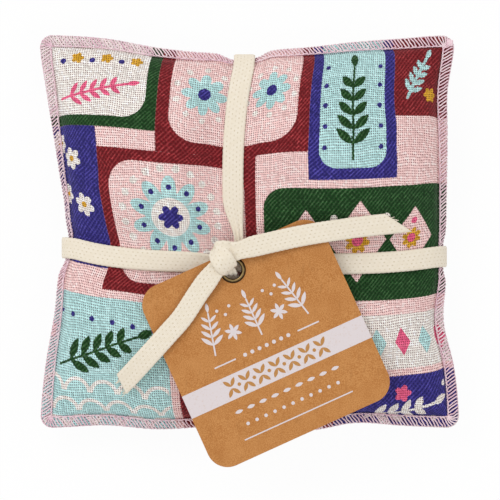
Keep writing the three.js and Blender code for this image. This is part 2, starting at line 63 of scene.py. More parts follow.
def mix(start: Any, end: Any, share: Any) -> Any:
    """Returns the value that lies share of the way from start to end."""
    return start + (end - start) * share


def smoothstep(low: float, high: float, value: np.ndarray) -> np.ndarray:
    """Returns 0 below low, 1 above high and a smooth rise between."""
    share = np.clip((value - low) / (high - low), 0.0, 1.0)
    return share * share * (3.0 - 2.0 * share)


def unit(vectors: np.ndarray) -> np.ndarray:
    """Returns the vectors of the last axis at length 1."""
    return vectors / np.maximum(np.linalg.norm(vectors, axis=-1, keepdims=True), TINY)


def lengths_along(line: np.ndarray) -> np.ndarray:
    """Returns how far along a line each of its points lies."""
    return np.concatenate([[0.0], np.cumsum(np.linalg.norm(np.diff(line, axis=0), axis=1))])


def ways_along(line: np.ndarray, closed: bool = False) -> np.ndarray:
    """Returns the way ahead at each point of a line."""
    return unit(np.roll(line, -1, axis=0) - np.roll(line, 1, axis=0) if closed else np.gradient(line, axis=0))


def round_angles(count: int) -> np.ndarray:
    """Returns the angles of a ring of points, in radians."""
    return np.arange(count) / count * TAU


def crowded_ends(count: int) -> np.ndarray:
    """Returns places from -1 to 1 that lie closer together towards both ends."""
    return np.sin(np.linspace(-0.5, 0.5, count) * math.pi)


def away(x: float, y: float, turn: float, reach: float) -> tuple[float, float]:
    """Returns the place at a reach from a point, along a way given in radians."""
    return x + reach * math.cos(turn), y + reach * math.sin(turn)


def along_way(dx: np.ndarray, dy: np.ndarray, degrees: float) -> tuple[np.ndarray, np.ndarray]:
    """Returns how far offsets reach along a way, and across it."""
    turn = math.radians(degrees)
    return dx * math.cos(turn) + dy * math.sin(turn), dy * math.cos(turn) - dx * math.sin(turn)


def ripple(x: np.ndarray, y: np.ndarray, wavelength: float, seed: int, waves: int = 9) -> np.ndarray:
    """A smooth random field.

    Args:
        x: Places across, in mm.
        y: Places along, in mm.
        wavelength: Usual distance between crests, in mm.
        seed: Seed of the field.
        waves: How many plane waves are summed.

    Returns:
        A field with a spread of about 1.
    """
    rng = np.random.default_rng(seed)
    total = np.zeros(np.broadcast(x, y).shape)
    for _ in range(waves):
        angle, phase = rng.uniform(0.0, TAU, 2)
        rate = TAU / (wavelength * rng.uniform(0.7, 1.5))
        total = total + np.sin(rate * (x * math.cos(angle) + y * math.sin(angle)) + phase)
    return total / math.sqrt(waves)


def resample(points: np.ndarray, step: float, closed: bool = False, rounds: int = 0) -> np.ndarray:
    """Spaces points evenly along a line and smooths it.

    Args:
        points: The line's points, in mm. Columns past the third are carried along.
        step: Distance between the new points.
        closed: Whether the line ends where it starts.
        rounds: How many times each new point moves to its neighbours' mean.

    Returns:
        The new points.
    """
    line = np.vstack([points, points[:1]]) if closed else np.asarray(points, float)
    reach = lengths_along(line[:, :3])
    places = np.linspace(0.0, reach[-1], max(3, round(reach[-1] / step)), endpoint=not closed)
    new = np.stack([np.interp(places, reach, column) for column in line.T], axis=1)
    for _ in range(rounds):
        if closed:
            new = (np.roll(new, 1, axis=0) + 2.0 * new + np.roll(new, -1, axis=0)) / 4.0
        else:
            new[1:-1] = (new[:-2] + 2.0 * new[1:-1] + new[2:]) / 4.0
    return new


def curve_through(points: tuple | list, step: float) -> np.ndarray:
    """A smooth line through points.

    Args:
        points: Rows of numbers, the first three a place in mm.
        step: Distance between the line's points.

    Returns:
        The line's rows, evenly spaced.
    """
    rows = np.asarray(points, float)
    padded = np.vstack([2.0 * rows[0] - rows[1], rows, 2.0 * rows[-1] - rows[-2]])
    share = np.linspace(0.0, 1.0, CURVE_STEPS, endpoint=False)[:, None]
    line = []
    for a, b, c, d in zip(padded[:-3], padded[1:-2], padded[2:-1], padded[3:]):
        line.append(0.5 * (
            2.0 * b + (c - a) * share + (2.0 * a - 5.0 * b + 4.0 * c - d) * share ** 2
            + (3.0 * b - a - 3.0 * c + d) * share ** 3
        ))
    return resample(np.vstack([*line, rows[-1:]]), step)


def make_piece(name: str, points: np.ndarray, faces: list, cloth: np.ndarray | None = None) -> bpy.types.Object:
    """Makes a smooth-shaded mesh object from points in mm.

    Args:
        name: The piece's name.
        points: Places in mm.
        faces: Rows of point numbers.
        cloth: Each point's place on the flat material, in mm, for the map named cloth.

    Returns:
        The linked object.
    """
    mesh = bpy.data.meshes.new(name)
    mesh.from_pydata((np.asarray(points) * MM).tolist(), [], [list(map(int, face)) for face in faces])
    mesh.validate()
    mesh.shade_smooth()
    if cloth is not None:
        corners = np.empty(len(mesh.loops), np.int32)
        mesh.loops.foreach_get("vertex_index", corners)
        layer = mesh.uv_layers.new(name="cloth")
        layer.data.foreach_set("uv", np.asarray(cloth, np.float32)[corners].ravel())
    piece = bpy.data.objects.new(name, mesh)
    bpy.context.scene.collection.objects.link(piece)
    return piece


def add_field(piece: bpy.types.Object, name: str, values: np.ndarray) -> None:
    """Stores one number for each point of a piece, under a name that its material reads."""
    attribute = piece.data.attributes.new(name, "FLOAT", "POINT")
    attribute.data.foreach_set("value", np.asarray(values, np.float32))


def dress(piece: bpy.types.Object, body: str, slot: str, finish: bpy.types.Material,
          node: str = "") -> bpy.types.Object:
    """Gives a piece its finish and its place among the part's bodies.

    Args:
        piece: The mesh object.
        body: The body that it moves with.
        slot: Not used.
        finish: Its material.
        node: The CAD node that it stands for, if it does.

    Returns:
        The piece.
    """
    piece.data.materials.append(finish)
    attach(piece, body)
    if node:
        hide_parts(node)
    LOG.info("%s: %d points", piece.name, len(piece.data.vertices))
    return piece


def grid_quads(count: int, first: int = 0) -> np.ndarray:
    """Returns the faces of a square grid, whose points are numbered from first."""
    at = (np.arange(count * count).reshape(count, count)[:-1, :-1] + first).ravel()
    return np.stack([at, at + count, at + count + 1, at + 1], axis=1)


def grid_border(count: int, first: int = 0) -> np.ndarray:
    """Returns the numbers of a square grid's border points, in order round it."""
    index = np.arange(count * count).reshape(count, count) + first
    return np.concatenate([index[:-1, 0], index[-1, :-1], index[:0:-1, -1], index[0, :0:-1]])


def join_parts(parts: list[tuple]) -> tuple:
    """Joins several bodies into one list of points, faces and cloth places.

    Args:
        parts: Tuples of points, faces and cloth places.

    Returns:
        The joined points, faces and cloth places.
    """
    points, faces, cloth, count = [], [], [], 0
    for part_points, part_faces, part_cloth in parts:
        points.append(part_points)
        cloth.append(part_cloth)
        faces.extend([index + count for index in face] for face in part_faces)
        count += len(part_points)
    return np.vstack(points), faces, np.vstack(cloth)


def ring_faces(rings: int, size: int, closed: bool) -> list:
    """Faces of a body swept through rings of the same number of points.

    Args:
        rings: How many rings there are.
        size: How many points each ring has.
        closed: Whether the last ring joins the first. If not, each end gets a face.

    Returns:
        The faces as lists of point numbers.
    """
    faces = []
    for k in range(rings if closed else rings - 1):
        here, ahead = k * size, (k + 1) % rings * size
        for m in range(size):
            n = (m + 1) % size
            faces.append([here + m, ahead + m, ahead + n, here + n])
    if not closed:
        end = (rings - 1) * size
        faces.append(list(range(size)))
        faces.append([end + m for m in reversed(range(size))])
    return faces


def thread_tube(line: np.ndarray, radius: float, closed: bool = False, sides: int = 6) -> tuple:
    """A round thread along a line.

    Args:
        line: The thread's middle, in mm.
        radius: The thread's radius, in mm.
        closed: Whether the thread ends where it starts.
        sides: Sides of its section.

    Returns:
        Points, faces and cloth places, which run round and along the thread.
    """
    ways = ways_along(line, closed)
    aside = np.cross(ways[0], (0.3, 0.2, 1.0))
    angles = round_angles(sides)
    rings = []
    for place, way in zip(line, ways):
        aside = aside - way * np.dot(aside, way)
        aside = aside / np.linalg.norm(aside)
        above = np.cross(aside, way)
        rings.append(place + radius * (np.outer(np.cos(angles), aside) + np.outer(np.sin(angles), above)))
    along = lengths_along(line)
    cloth = np.stack([np.tile(angles * radius, len(line)), np.repeat(along, sides)], axis=1)
    return np.vstack(rings), ring_faces(len(line), sides, closed), cloth


# ---- the pouch's form


@dataclass(frozen=True)
class Side:
    """One side of the pouch: how far in its seam lies at even places, how deep the tape nips it, its seam's fold."""

    drawn: tuple[float, ...]
    nip: float
    fold: float

    def drawn_at(self, place: np.ndarray) -> np.ndarray:
        """How far in the seam lies, on a smooth curve through the values.

        Args:
            place: Places along the side, from -1 to 1.

        Returns:
            The distances in mm.
        """
        values = np.array(self.drawn)
        last = len(values) - 1
        along = (np.asarray(place, dtype=float) + 1.0) / 2.0 * last
        first = np.clip(np.floor(along).astype(int), 0, last - 1)
        t = along - first
        before, start = values[np.maximum(first - 1, 0)], values[first]
        end, after = values[first + 1], values[np.minimum(first + 2, last)]
        curve = (2.0 * before - 5.0 * start + 4.0 * end - after) * t
        curve = curve + (3.0 * start - before - 3.0 * end + after) * t * t
        return start + 0.5 * t * (end - before + curve)


@dataclass(frozen=True)
class PouchForm:
    """The tied pouch, in mm. Places on it run from -1 at one seam to 1 at the other, as u across and v along."""

    width: float = 128.0
    depth: float = 120.0
    seam_height: float = 14.0
    corner_height: float = 9.5
    front_crown: float = 17.2
    back_crown: float = 16.4
    back_bulges: tuple = ((3.8, 1.3), (2.5, 0.1))
    fabric: float = 0.5
    seam_gap: float = 0.3  # between the panels' inner faces at the seam
    allowance: float = 3.25
    overlock: float = 3.65
    thread_top: float = 1.3
    left: Side = Side((0.0, 1.4, 3.6, 4.5, 6.1, 4.6, 3.0, 1.4, -0.2), 1.4, 1.1)
    right: Side = Side((0.0, 1.4, 4.4, 3.1, 3.1, 3.1, 3.2, 3.4, 1.5), 0.3, 0.8)
    top: Side = Side((0.5, 1.5, 4.1, 5.3, 4.4, 3.6, 2.3, 1.5, 0.6), 1.5, 0.8)
    bottom: Side = Side((-0.6, 0.1, -1.2, -0.5, 0.6, -1.7, 0.7, 0.0, -0.6), 0.5, 0.6)
    tape_fold: float = 1.12
    tape_half: float = 3.15
    front_press: float = 7.6
    back_press: float = 7.4
    channel_slope: float = 11.0
    nip_slope: float = 3.5
    across_route: tuple = (-9.0, -1.6, 2.7, 1.33, 0.54)
    down_route: tuple = (-4.8, 0.2, 3.0, -2.6)
    shift: tuple = (0.02434, 6.40453, 0.83728)  # from the pouch's own frame to the part's
    crown_power: float = 2.2
    fold_power: float = 1.4
    front_seed: int = 11
    back_seed: int = 31
    waves: tuple = ((0.34, 26.0), (0.12, 11.0))  # height of the cloth's unevenness, and its wavelength
    pucker: tuple = (0.42, 8.5, 6.0)  # along the seam: height, wavelength, and how far in it fades
    ray_reach: float = 15.0  # mm that creases run out from a nip
    hollow: tuple = (12.5, 11.0, 2.7, 90.0)  # in the front, where the tag's corner swings: place, depth, spread
    pressed_flat: float = 0.75  # share of the creases that the tape presses out

    @property
    def half_width(self) -> float:
        """Half the sewn area's width."""
        return self.width / 2.0 - self.overlock

    @property
    def half_depth(self) -> float:
        """Half the sewn area's depth."""
        return self.depth / 2.0 - self.overlock

    @property
    def nips(self) -> tuple:
        """Where creases run out from: places in mm, and the creases' height."""
        wide, deep = self.half_width, self.half_depth
        return (-wide, -9.0, 0.7), (wide, -9.0, 0.7), (-2.0, deep, 1.1), (-2.0, -deep, 0.6), (-4.8, -9.0, 0.8)

    @property
    def sheet_offset(self) -> float:
        """From the seam's middle plane to a panel's outer face."""
        return self.seam_gap / 2.0 + self.fabric

    def bell(self, distance: np.ndarray, slope: float) -> np.ndarray:
        """Returns 1 under the tape, falling off beside it within the slope."""
        beyond = np.maximum(0.0, np.abs(distance) - self.tape_half)
        return np.exp(-((beyond / slope) ** 2))

    def across_y(self, u: np.ndarray) -> np.ndarray:
        """Middle of the band across, at a place along it."""
        middle, slope, lift, sag, lean = self.across_route
        return middle + slope * u + lift * np.abs(u) ** 3 - (sag - lean * u) * (1.0 - 0.6 * u ** 6)

    def down_x(self, v: np.ndarray) -> np.ndarray:
        """Middle of the band down, at a place along it."""
        middle, slope, lift, bow = self.down_route
        return middle + slope * v + lift * np.abs(v) ** 3 + bow * np.maximum(v, 0.0) * (1.0 - v)

    def near_across(self, v: np.ndarray) -> np.ndarray:
        """How strongly the band across holds a place."""
        return self.bell(v * self.half_depth - self.across_route[0], self.nip_slope)

    def near_down(self, u: np.ndarray) -> np.ndarray:
        """How strongly the band down holds a place."""
        return self.bell(u * self.half_width - self.down_route[0], self.nip_slope)

    def drawn_in(self, low: Side, high: Side, out: np.ndarray, place: np.ndarray, held: np.ndarray) -> np.ndarray:
        """How far in the low side, where out is negative, or else the high side lies, with the tape's nip."""
        drawn = np.where(out < 0.0, low.drawn_at(place), high.drawn_at(place))
        return drawn + np.where(out < 0.0, low.nip, high.nip) * held

    def plan(self, u: np.ndarray, v: np.ndarray) -> tuple[np.ndarray, np.ndarray]:
        """Where a place of the sewn area lies, seen from above.

        Args:
            u: Places across.
            v: Places along.

        Returns:
            x and y in mm, in the pouch's own frame.
        """
        drawn_x = self.drawn_in(self.left, self.right, u, v, self.near_across(v))
        drawn_y = self.drawn_in(self.bottom, self.top, v, u, self.near_down(u))
        wander_x = (self.down_x(v) - self.down_route[0]) * (1.0 - u * u)
        wander_y = (self.across_y(u) - self.across_route[0]) * (1.0 - v * v)
        return (u * (self.half_width - drawn_x * np.abs(u)) + wander_x,
                v * (self.half_depth - drawn_y * np.abs(v)) + wander_y)

    def seam_z(self, u: np.ndarray, v: np.ndarray) -> np.ndarray:
        """Height of the seam's plane, which sinks towards the corners."""
        return mix(self.seam_height, self.corner_height, (u * v) ** 2)

    def fullness(self, u: np.ndarray, v: np.ndarray) -> np.ndarray:
        """How full the pouch is at a place, from 0 at the seam to 1."""
        across = np.sqrt(np.maximum(0.0, 1.0 - np.abs(u) ** self.crown_power))
        return across * np.sqrt(np.maximum(0.0, 1.0 - np.abs(v) ** self.crown_power))

    def creases(self, side: int, u: np.ndarray, v: np.ndarray) -> np.ndarray:
        """Height of the cloth's small puckers, creases and unevenness.

        Args:
            side: 1 for the front panel, -1 for the back.
            u: Places across.
            v: Places along.

        Returns:
            The height in mm, which is 0 at the seam.
        """
        seed = self.front_seed if side > 0 else self.back_seed
        x, y = u * self.half_width, v * self.half_depth
        from_x, from_y = self.half_width - np.abs(x), self.half_depth - np.abs(y)
        total = sum(height * ripple(x, y, length, seed + k) for k, (height, length) in enumerate(self.waves))
        pucker, spacing, fade = self.pucker
        for out, along, end in ((from_x, y, np.sign(u)), (from_y, x, np.sign(v) * 2.0)):
            total = total + pucker * ripple(along, end * 9.0, spacing, seed + 2, 5) * np.exp(-out / fade)
        for nip_x, nip_y, height in self.nips:
            distance = np.hypot(x - nip_x, y - nip_y)
            angle = np.arctan2(y - nip_y, x - nip_x)
            rays = np.sin(7.0 * angle + 1.3 * np.sin(distance / 7.0) + seed) * smoothstep(2.0, 8.0, distance)
            total = total + height * rays * np.exp(-((distance / self.ray_reach) ** 2))
        if side > 0:
            hollow_x, hollow_y, hollow_depth, spread = self.hollow
            total = total - hollow_depth * np.exp(-((x - hollow_x) ** 2 + (y - hollow_y) ** 2) / spread)
        return total * smoothstep(0.0, 3.0, np.minimum(from_x, from_y))

    def surface(self, side: int, u: np.ndarray, v: np.ndarray, inset: float = 0.0) -> np.ndarray:
        """The outer face of a panel over the sewn area, in the part's frame.

        Args:
            side: 1 for the front panel, -1 for the back.
            u: Places across.
            v: Places along.
            inset: How far inside the outer face, for the filling.

        Returns:
            Points in mm.
        """
        down_share = self.down_route[0] / self.half_width
        across_share = self.across_route[0] / self.half_depth
        down = self.bell((u - down_share) * self.half_width, self.channel_slope)
        across = self.bell((v - across_share) * self.half_depth, self.channel_slope)
        pressed = 1.0 - (1.0 - down) * (1.0 - across)
        crown, press = (self.front_crown, self.front_press) if side > 0 else (self.back_crown, self.back_press)
        bulge = 0.0
        if side < 0:
            bulge = np.array(self.back_bulges)[(u > down_share) * 1, (v > across_share) * 1]
        rise = self.sheet_offset + self.fullness(u, v) * (crown - press * pressed + bulge * (1.0 - pressed))
        rise = rise + self.creases(side, u, v) * (1.0 - self.pressed_flat * pressed) - inset
        points = np.stack([*self.plan(u, v), self.seam_z(u, v) + side * rise], axis=-1) + self.shift
        points[..., 2] = np.maximum(points[..., 2], max(0.0, inset))
        return points

    def seam_frame(self, u: np.ndarray, v: np.ndarray, out_x: np.ndarray, out_y: np.ndarray) -> tuple:
        """The seam's place, its two ways out over the allowance and the way up off it.

        Args:
            u: Places across.
            v: Places along.
            out_x: -1, 0 or 1: whether the allowance runs out across the left or right side.
            out_y: The same for the bottom or top side.

        Returns:
            Points, the way out across, the way out along, and the way up.
        """
        share_u, share_v = np.abs(u) ** self.fold_power, np.abs(v) ** self.fold_power
        side_fold = np.where(out_x < 0, self.left.fold, self.right.fold)
        end_fold = np.where(out_y < 0, self.bottom.fold, self.top.fold)
        corner = (out_x != 0) & (out_y != 0)
        fold_x = np.where(corner, 0.0, mix(side_fold * (1.0 - share_v), self.tape_fold, self.near_across(v)))
        fold_y = np.where(corner, 0.0, mix(end_fold * (1.0 - share_u), self.tape_fold, self.near_down(u)))
        nothing = np.zeros_like(u)
        way_x = np.stack([out_x * np.cos(fold_x), nothing, -np.abs(out_x) * np.sin(fold_x)], axis=-1)
        way_y = np.stack([nothing, out_y * np.cos(fold_y), -np.abs(out_y) * np.sin(fold_y)], axis=-1)
        up = unit(np.stack([out_x * np.sin(fold_x), out_y * np.sin(fold_y),
                            np.cos(fold_x * np.abs(out_x)) * np.cos(fold_y * np.abs(out_y))], axis=-1))
        return np.stack([*self.plan(u, v), self.seam_z(u, v)], axis=-1) + self.shift, way_x, way_y, up


# ---- finishes


def linear(hex_code: str) -> tuple[float, float, float, float]:
    """Turns an sRGB hex colour into linear red, green, blue and alpha."""
    values = [int(hex_code[k:k + 2], 16) / 255.0 for k in (1, 3, 5)]
    return *[v / 12.92 if v <= 0.04045 else ((v + 0.055) / 1.055) ** 2.4 for v in values], 1.0


def add_node(tree: bpy.types.NodeTree, kind: str, *values: Any, inputs: dict | None = None,
             out: int = 0, **settings: Any) -> bpy.types.NodeSocket:
    """Adds a shader node with its settings and links.

    Args:
        tree: The material's node tree.
        kind: The node's type name after ShaderNode, and after a colon its operation.
        values: Numbers, colours or sockets for its inputs in order. None leaves one alone.
        inputs: More of them, by name or number.
        out: Which output to return.
        settings: The node's own settings.

    Returns:
        The output asked for, or the node itself where it has none.
    """
    kind, _, operation = kind.partition(":")
    node = tree.nodes.new("ShaderNode" + kind)
    if operation:
        settings["operation"] = operation
    for name, value in settings.items():
        setattr(node, name, value)
    for key, value in [*enumerate(values), *(inputs or {}).items()]:
        if isinstance(value, bpy.types.NodeSocket):
            tree.links.new(value, node.inputs[key])
        elif value is not None:
            node.inputs[key].default_value = value
    return node.outputs[out] if len(node.outputs) else node


def start_material(name: str) -> tuple[bpy.types.Material, Any]:
    """Makes an empty node material.

    Args:
        name: The finish's name.

    Returns:
        The material, and add_node for its tree.
    """
    material = bpy.data.materials.new(name)
    material.use_nodes = True
    material.node_tree.nodes.clear()
    return material, partial(add_node, material.node_tree)


def finish_material(add: Any, colour: Any, height: Any = None, depth: float = 0.1 * MM,
                    strength: float = 0.5, **surface: float) -> None:
    """Ends a material with its bump, its surface and its output.

    Args:
        add: add_node for the material's tree.
        colour: The colour socket, or a linear colour.
        height: The bump's height socket.
        depth: The bump's depth, in metres.
        strength: The bump's strength.
        surface: The surface's values, named as its sockets with _ for a space.
    """
    inputs = {name.replace("_", " "): value for name, value in surface.items()}
    inputs["Base Color"] = colour
    if height is not None:
        inputs["Normal"] = add("Bump", inputs={"Strength": strength, "Distance": depth, "Height": height})
    add("OutputMaterial", add("BsdfPrincipled", inputs=inputs))


FLAT = {"noise_dimensions": "2D"}  # settings of a noise that lies on the cloth


def sums(add: Any) -> list[Any]:
    """Returns short names for the three sums that finishes use most: times, plus and less."""
    return [partial(add, "Math:" + kind) for kind in ("MULTIPLY", "ADD", "SUBTRACT")]


def both(add: Any, place: Any) -> list[Any]:
    """Returns a place's first and second number."""
    return [add("SeparateXYZ", place, out=axis) for axis in (0, 1)]


def noise(add: Any, place: Any, scale: float, detail: float, **settings: str) -> Any:
    """Adds a noise texture, and returns its height."""
    return add("TexNoise", place, inputs={"Scale": scale, "Detail": detail}, **settings)


def tint(add: Any, share: Any, under: Any, over: Any, **settings: str) -> Any:
    """Lays a share of one colour over another, each a socket or an sRGB hex code."""
    under, over = [linear(colour) if isinstance(colour, str) else colour for colour in (under, over)]
    return add("Mix", share, inputs={6: under, 7: over}, out=2, data_type="RGBA", **settings)


def looked_at(add: Any) -> Any:
    """Returns 1 on what the camera sees itself, in a shiny surface or through a clear one."""
    seen = add("Math:MAXIMUM", add("LightPath"), add("LightPath", out=3))
    return add("Math:MAXIMUM", seen, add("LightPath", out=6))


class Ink(Enum):
    """The print's inks, in the order that the shader lays them over the pale pink ground."""

    MAROON = "#6e1119"
    GREEN = "#103a12"
    INDIGO = "#2a2470"
    AQUA = "#b9e3e2"
    WHITE = "#f7f1e9"
    HOT_PINK = "#f0658d"
    MUSTARD = "#dba62f"


@dataclass(frozen=True)
class PrintedLinen:
    """Plain-weave linen, printed. The open weave shows as a grid of pinholes, painted dark as shade and the filling
    seen through them, and its slubs as paler threads.
    """

    pitches: tuple[float, float] = (0.64, 0.7)  # mm between threads, along and across
    slub_length: float = 28.0
    unlike: float = 7.31  # how far apart neighbouring threads lie in the noise, so that they differ
    ground: str = "#ffd6d2"
    slub: str = "#fbe9e6"
    # Painted highlight for the thread crests on the dark inks
    crest_highlight: str = "#b9b3a8"
    # Painted shade in the pinholes, also standing for the dark filling seen through them
    gap: str = "#7d4a55"
    slub_share: float = 0.08
    drift: float = 0.2  # how much lighter or darker a thread gets along its length
    speckle: float = 0.2  # how much lighter or darker each crossing is
    openness: tuple[float, float] = (0.65, 1.25)
    # How strongly each crossing takes the painted highlight, least and most
    crest_highlight_shares: tuple[float, float] = (0.4, 1.9)
    spread: float = 0.12  # mm that ink creeps over the bare ground
    ragged: float = 0.1
    palest: float = 0.985  # no colour goes above it

    @property
    def dark_inks(self) -> tuple:
        """The inks that hide the weave."""
        return Ink.MAROON, Ink.GREEN, Ink.INDIGO

    def material(self) -> bpy.types.Material:
        """Builds the node material, which reads the ink fields and the map named cloth.

        Returns:
            The material.
        """
        material, add = start_material("printed linen")
        times, plus, less = sums(add)
        cloth = add("UVMap", uv_map="cloth")
        wander = noise(add, cloth, 0.05, 2.0, **FLAT)
        moved = [plus(place, times(wander, sway)) for place, sway in zip(both(add, cloth), (2.0, -3.0))]
        turns = [add("Math:DIVIDE", place, pitch) for place, pitch in zip(moved, self.pitches)]
        warp, weft = [add("Math:ABSOLUTE", add("Math:SINE", times(turn, math.pi))) for turn in turns]
        numbers = [add("Math:FLOOR", turn) for turn in turns]
        over = add("Math:FLOORED_MODULO", plus(*numbers), 2.0)
        # Each thread's tone drifts along it, a few run thick and pale, and each crossing is lighter or darker
        drifts = []
        for number, place in ((numbers[1], moved[0]), (numbers[0], moved[1])):
            spot = add("CombineXYZ", times(number, self.unlike), add("Math:DIVIDE", place, self.slub_length))
            drifts.append(noise(add, spot, 1.0, 2.0, **FLAT))
        slub = add("Math:MAXIMUM", *[add("MapRange", drift, 0.56, 0.8) for drift in drifts])
        crossing = add("TexWhiteNoise", add("CombineXYZ", *numbers), **FLAT)
        filled = plus(add("Math:MAXIMUM", warp, weft), times(slub, 0.12))
        pinhole = add("MapRange", filled, 0.4, 0.95, 1.0, 0.0, interpolation_type="SMOOTHSTEP")
        corners = [add("Math:FLOOR", plus(turn, 0.5)) for turn in turns]
        opening = add("TexWhiteNoise", add("CombineXYZ", *corners), **FLAT)
        pinhole = times(pinhole, add("MapRange", opening, 0.0, 1.0, *self.openness))
        # The ink that reaches furthest over a place wins it, with an edge as uneven as the threads
        colour, depth, dark = linear(self.ground), self.spread, 0.0
        for ink in Ink:
            is_dark = ink in self.dark_inks
            own = add("Attribute", attribute_name="ink_" + ink.name.lower(), out=2)
            own = plus(own, times(over, self.ragged if is_dark else -self.ragged))
            share = add("MapRange", less(depth, own), -0.1, 0.1)
            colour = tint(add, share, colour, ink.value)
            dark = add("Mix", share, inputs={2: dark, 3: float(is_dark)})
            depth = add("Math:MINIMUM", depth, own)
        light = less(1.0, times(dark, 0.45))
        bare = less(1.0, times(dark, 0.95))
        paler = times(times(slub, self.slub_share), bare)
        colour = tint(add, paler, colour, self.slub)
        drift = times(less(plus(*drifts), 1.0), self.drift)
        tone = plus(drift, add("MapRange", crossing, 0.0, 1.0, 1.0 - self.speckle, 1.0 + self.speckle))
        colour = add("VectorMath:MINIMUM", add("VectorMath:SCALE", inputs={0: colour, 3: tone}), (self.palest,) * 3)
        # On the dark inks, pale flecks in slanting rows are painted highlights on the threads' crests, patchy across
        # the cloth
        lean = add("Math:COSINE", times(less(*turns), math.pi))
        cross = add("Math:COSINE", times(plus(*turns), math.pi))
        wear_and_highlight = noise(add, cloth, 0.35, 4.0, **FLAT)
        crest = plus(times(lean, 0.5), times(cross, 0.22))
        highlight_share = times(add("MapRange", crest, 0.0, 0.72), add("MapRange", wear_and_highlight, 0.3, 0.75, 0.2, 0.56))
        highlight_share = times(highlight_share, add("MapRange", crossing, 0.0, 1.0, *self.crest_highlight_shares))
        pale = tint(add, 0.22, add("VectorMath:SCALE", inputs={0: colour, 3: 5.0}), self.crest_highlight)
        colour = tint(add, times(highlight_share, dark), colour, pale)
        # The pinholes get painted shade, which also stands for the dark filling seen through the weave
        colour = tint(add, times(pinhole, light), colour, self.gap, blend_type="MULTIPLY")
        swell = times(plus(times(warp, over), times(weft, less(1.0, over))), 0.5)
        finish_material(add, colour, plus(swell, filled), 0.22 * MM, 0.55, Roughness=0.9,
                        Specular_IOR_Level=0.2, Sheen_Weight=0.06, Sheen_Roughness=0.5)
        return material


@dataclass(frozen=True)
class HerringboneCotton:
    """Undyed cotton tape, woven in herringbone: rows of small pits in chevrons, darkened with painted shade, and a
    soft, even surface.
    """

    name: str = "herringbone cotton tape"
    yarn: str = "#f0e7d8"
    shade: str = "#e7dbc5"
    # Painted shade in the pits
    pit_shade: str = "#bca87c"
    column: float = 1.05  # mm between columns of pits
    row: float = 1.5  # mm between pits along the tape
    chevron: float = 3.0  # columns to half a chevron
    stagger: float = 0.37  # share of a row that each column lies further on
    pit_size: float = 0.2

    def material(self) -> bpy.types.Material:
        """Builds the node material, which reads the map named cloth, across and along the tape.

        Returns:
            The material.
        """
        material, add = start_material(self.name)
        times, plus, less = sums(add)
        cloth = add("UVMap", uv_map="cloth")
        across, along = both(add, cloth)
        # Each column of pits starts a little further on, up to the middle of a chevron and back
        place = plus(across, self.column * 10.5)
        number = add("Math:FLOOR", add("Math:DIVIDE", place, self.column))
        step = times(add("Math:PINGPONG", number, self.chevron), self.row * self.stagger)
        aside = less(add("Math:FLOORED_MODULO", place, self.column), self.column / 2.0)
        ahead = less(add("Math:FLOORED_MODULO", plus(along, step), self.row), self.row / 2.0)
        reach = add("VectorMath:LENGTH", add("CombineXYZ", aside, times(ahead, 0.62)), out=1)
        pits = add("MapRange", reach, self.pit_size * 1.3, self.pit_size * 0.5, interpolation_type="SMOOTHSTEP")
        rib = add("Math:COSINE", times(plus(along, step), TAU / self.row * 3.0))
        uneven = noise(add, cloth, 0.55, 4.0, **FLAT)
        colour = tint(add, uneven, self.shade, self.yarn)
        # The pits get painted shade, stronger in some places than in others
        pit_shade_share = times(pits, add("MapRange", uneven, 0.35, 0.65, 0.05, 0.6))
        colour = tint(add, pit_shade_share, colour, self.pit_shade)
        finish_material(add, colour, less(times(rib, 0.2), times(pits, 0.4)), 0.12 * MM, 0.5, Roughness=0.9,
                        Specular_IOR_Level=0.25, Sheen_Weight=0.15, Sheen_Roughness=0.5)
        return material


@dataclass(frozen=True)
class SpunThread:
    """Spun polyester sewing thread: two plies whose twist shows as fine slanting lines of bump and of painted shade
    and highlight, with a faint lustre.
    """

    name: str = "overlock thread"
    light: str = "#f8e2e6"
    deep: str = "#e6bccb"
    twist: float = 0.9  # mm for one turn of the plies, drawn as coarse as it needs to show

    def material(self) -> bpy.types.Material:
        """Builds the node material, which reads the map named cloth, round and along the thread.

        Returns:
            The material.
        """
        material, add = start_material(self.name)
        times, plus, _ = sums(add)
        around, along = both(add, add("UVMap", uv_map="cloth"))
        ply = add("Math:SINE", times(plus(along, around), TAU / self.twist))
        stretch = add("CombineXYZ", around, times(along, 0.05))
        uneven = noise(add, stretch, 1.0, 2.0, **FLAT)
        # The twist paints shade in its grooves and highlight on its crests, as slanting lines
        share = add("MapRange", plus(uneven, times(ply, 0.08)), 0.34, 0.62)
        colour = tint(add, share, self.deep, self.light)
        finish_material(add, colour, ply, 0.05 * MM, 0.4, Roughness=0.62, Specular_IOR_Level=0.4,
                        Sheen_Weight=0.1)
        return material


@dataclass(frozen=True)
class KraftBoard:
    """Unbleached kraft card: warm brown, matt, with short darker fibres and small specks."""

    body: str = "#b07238"
    light: str = "#c88d52"
    fibre: str = "#996330"
    fibre_width: float = 0.22  # mm

    def material(self) -> bpy.types.Material:
        """Builds the node material from the card's own places, in metres.

        Returns:
            The material.
        """
        material, add = start_material("uncoated kraft card")
        times, plus, _ = sums(add)
        place = add("TexCoord", out=3)
        cloud = add("TexNoise", place, inputs={"Scale": 0.16 / MM, "Detail": 5.0, "Roughness": 0.6})
        grain = noise(add, place, 0.75 / (self.fibre_width * MM), 2.0)
        turned = add("Mapping", place, inputs={"Rotation": (0.0, 0.0, 0.9), "Scale": (1.0, 0.22, 1.0)})
        fibre = noise(add, turned, 0.25 / (self.fibre_width * MM), 1.0)
        mottle = add("MapRange", plus(times(cloud, 0.4), grain), 0.58, 0.82)
        colour = tint(add, mottle, self.body, self.light)
        colour = tint(add, times(add("MapRange", fibre, 0.6, 0.8), 0.3), colour, self.fibre)
        finish_material(add, colour, plus(grain, fibre), 0.03 * MM, 0.5, Roughness=0.82,
                        Specular_IOR_Level=0.3)
        return material


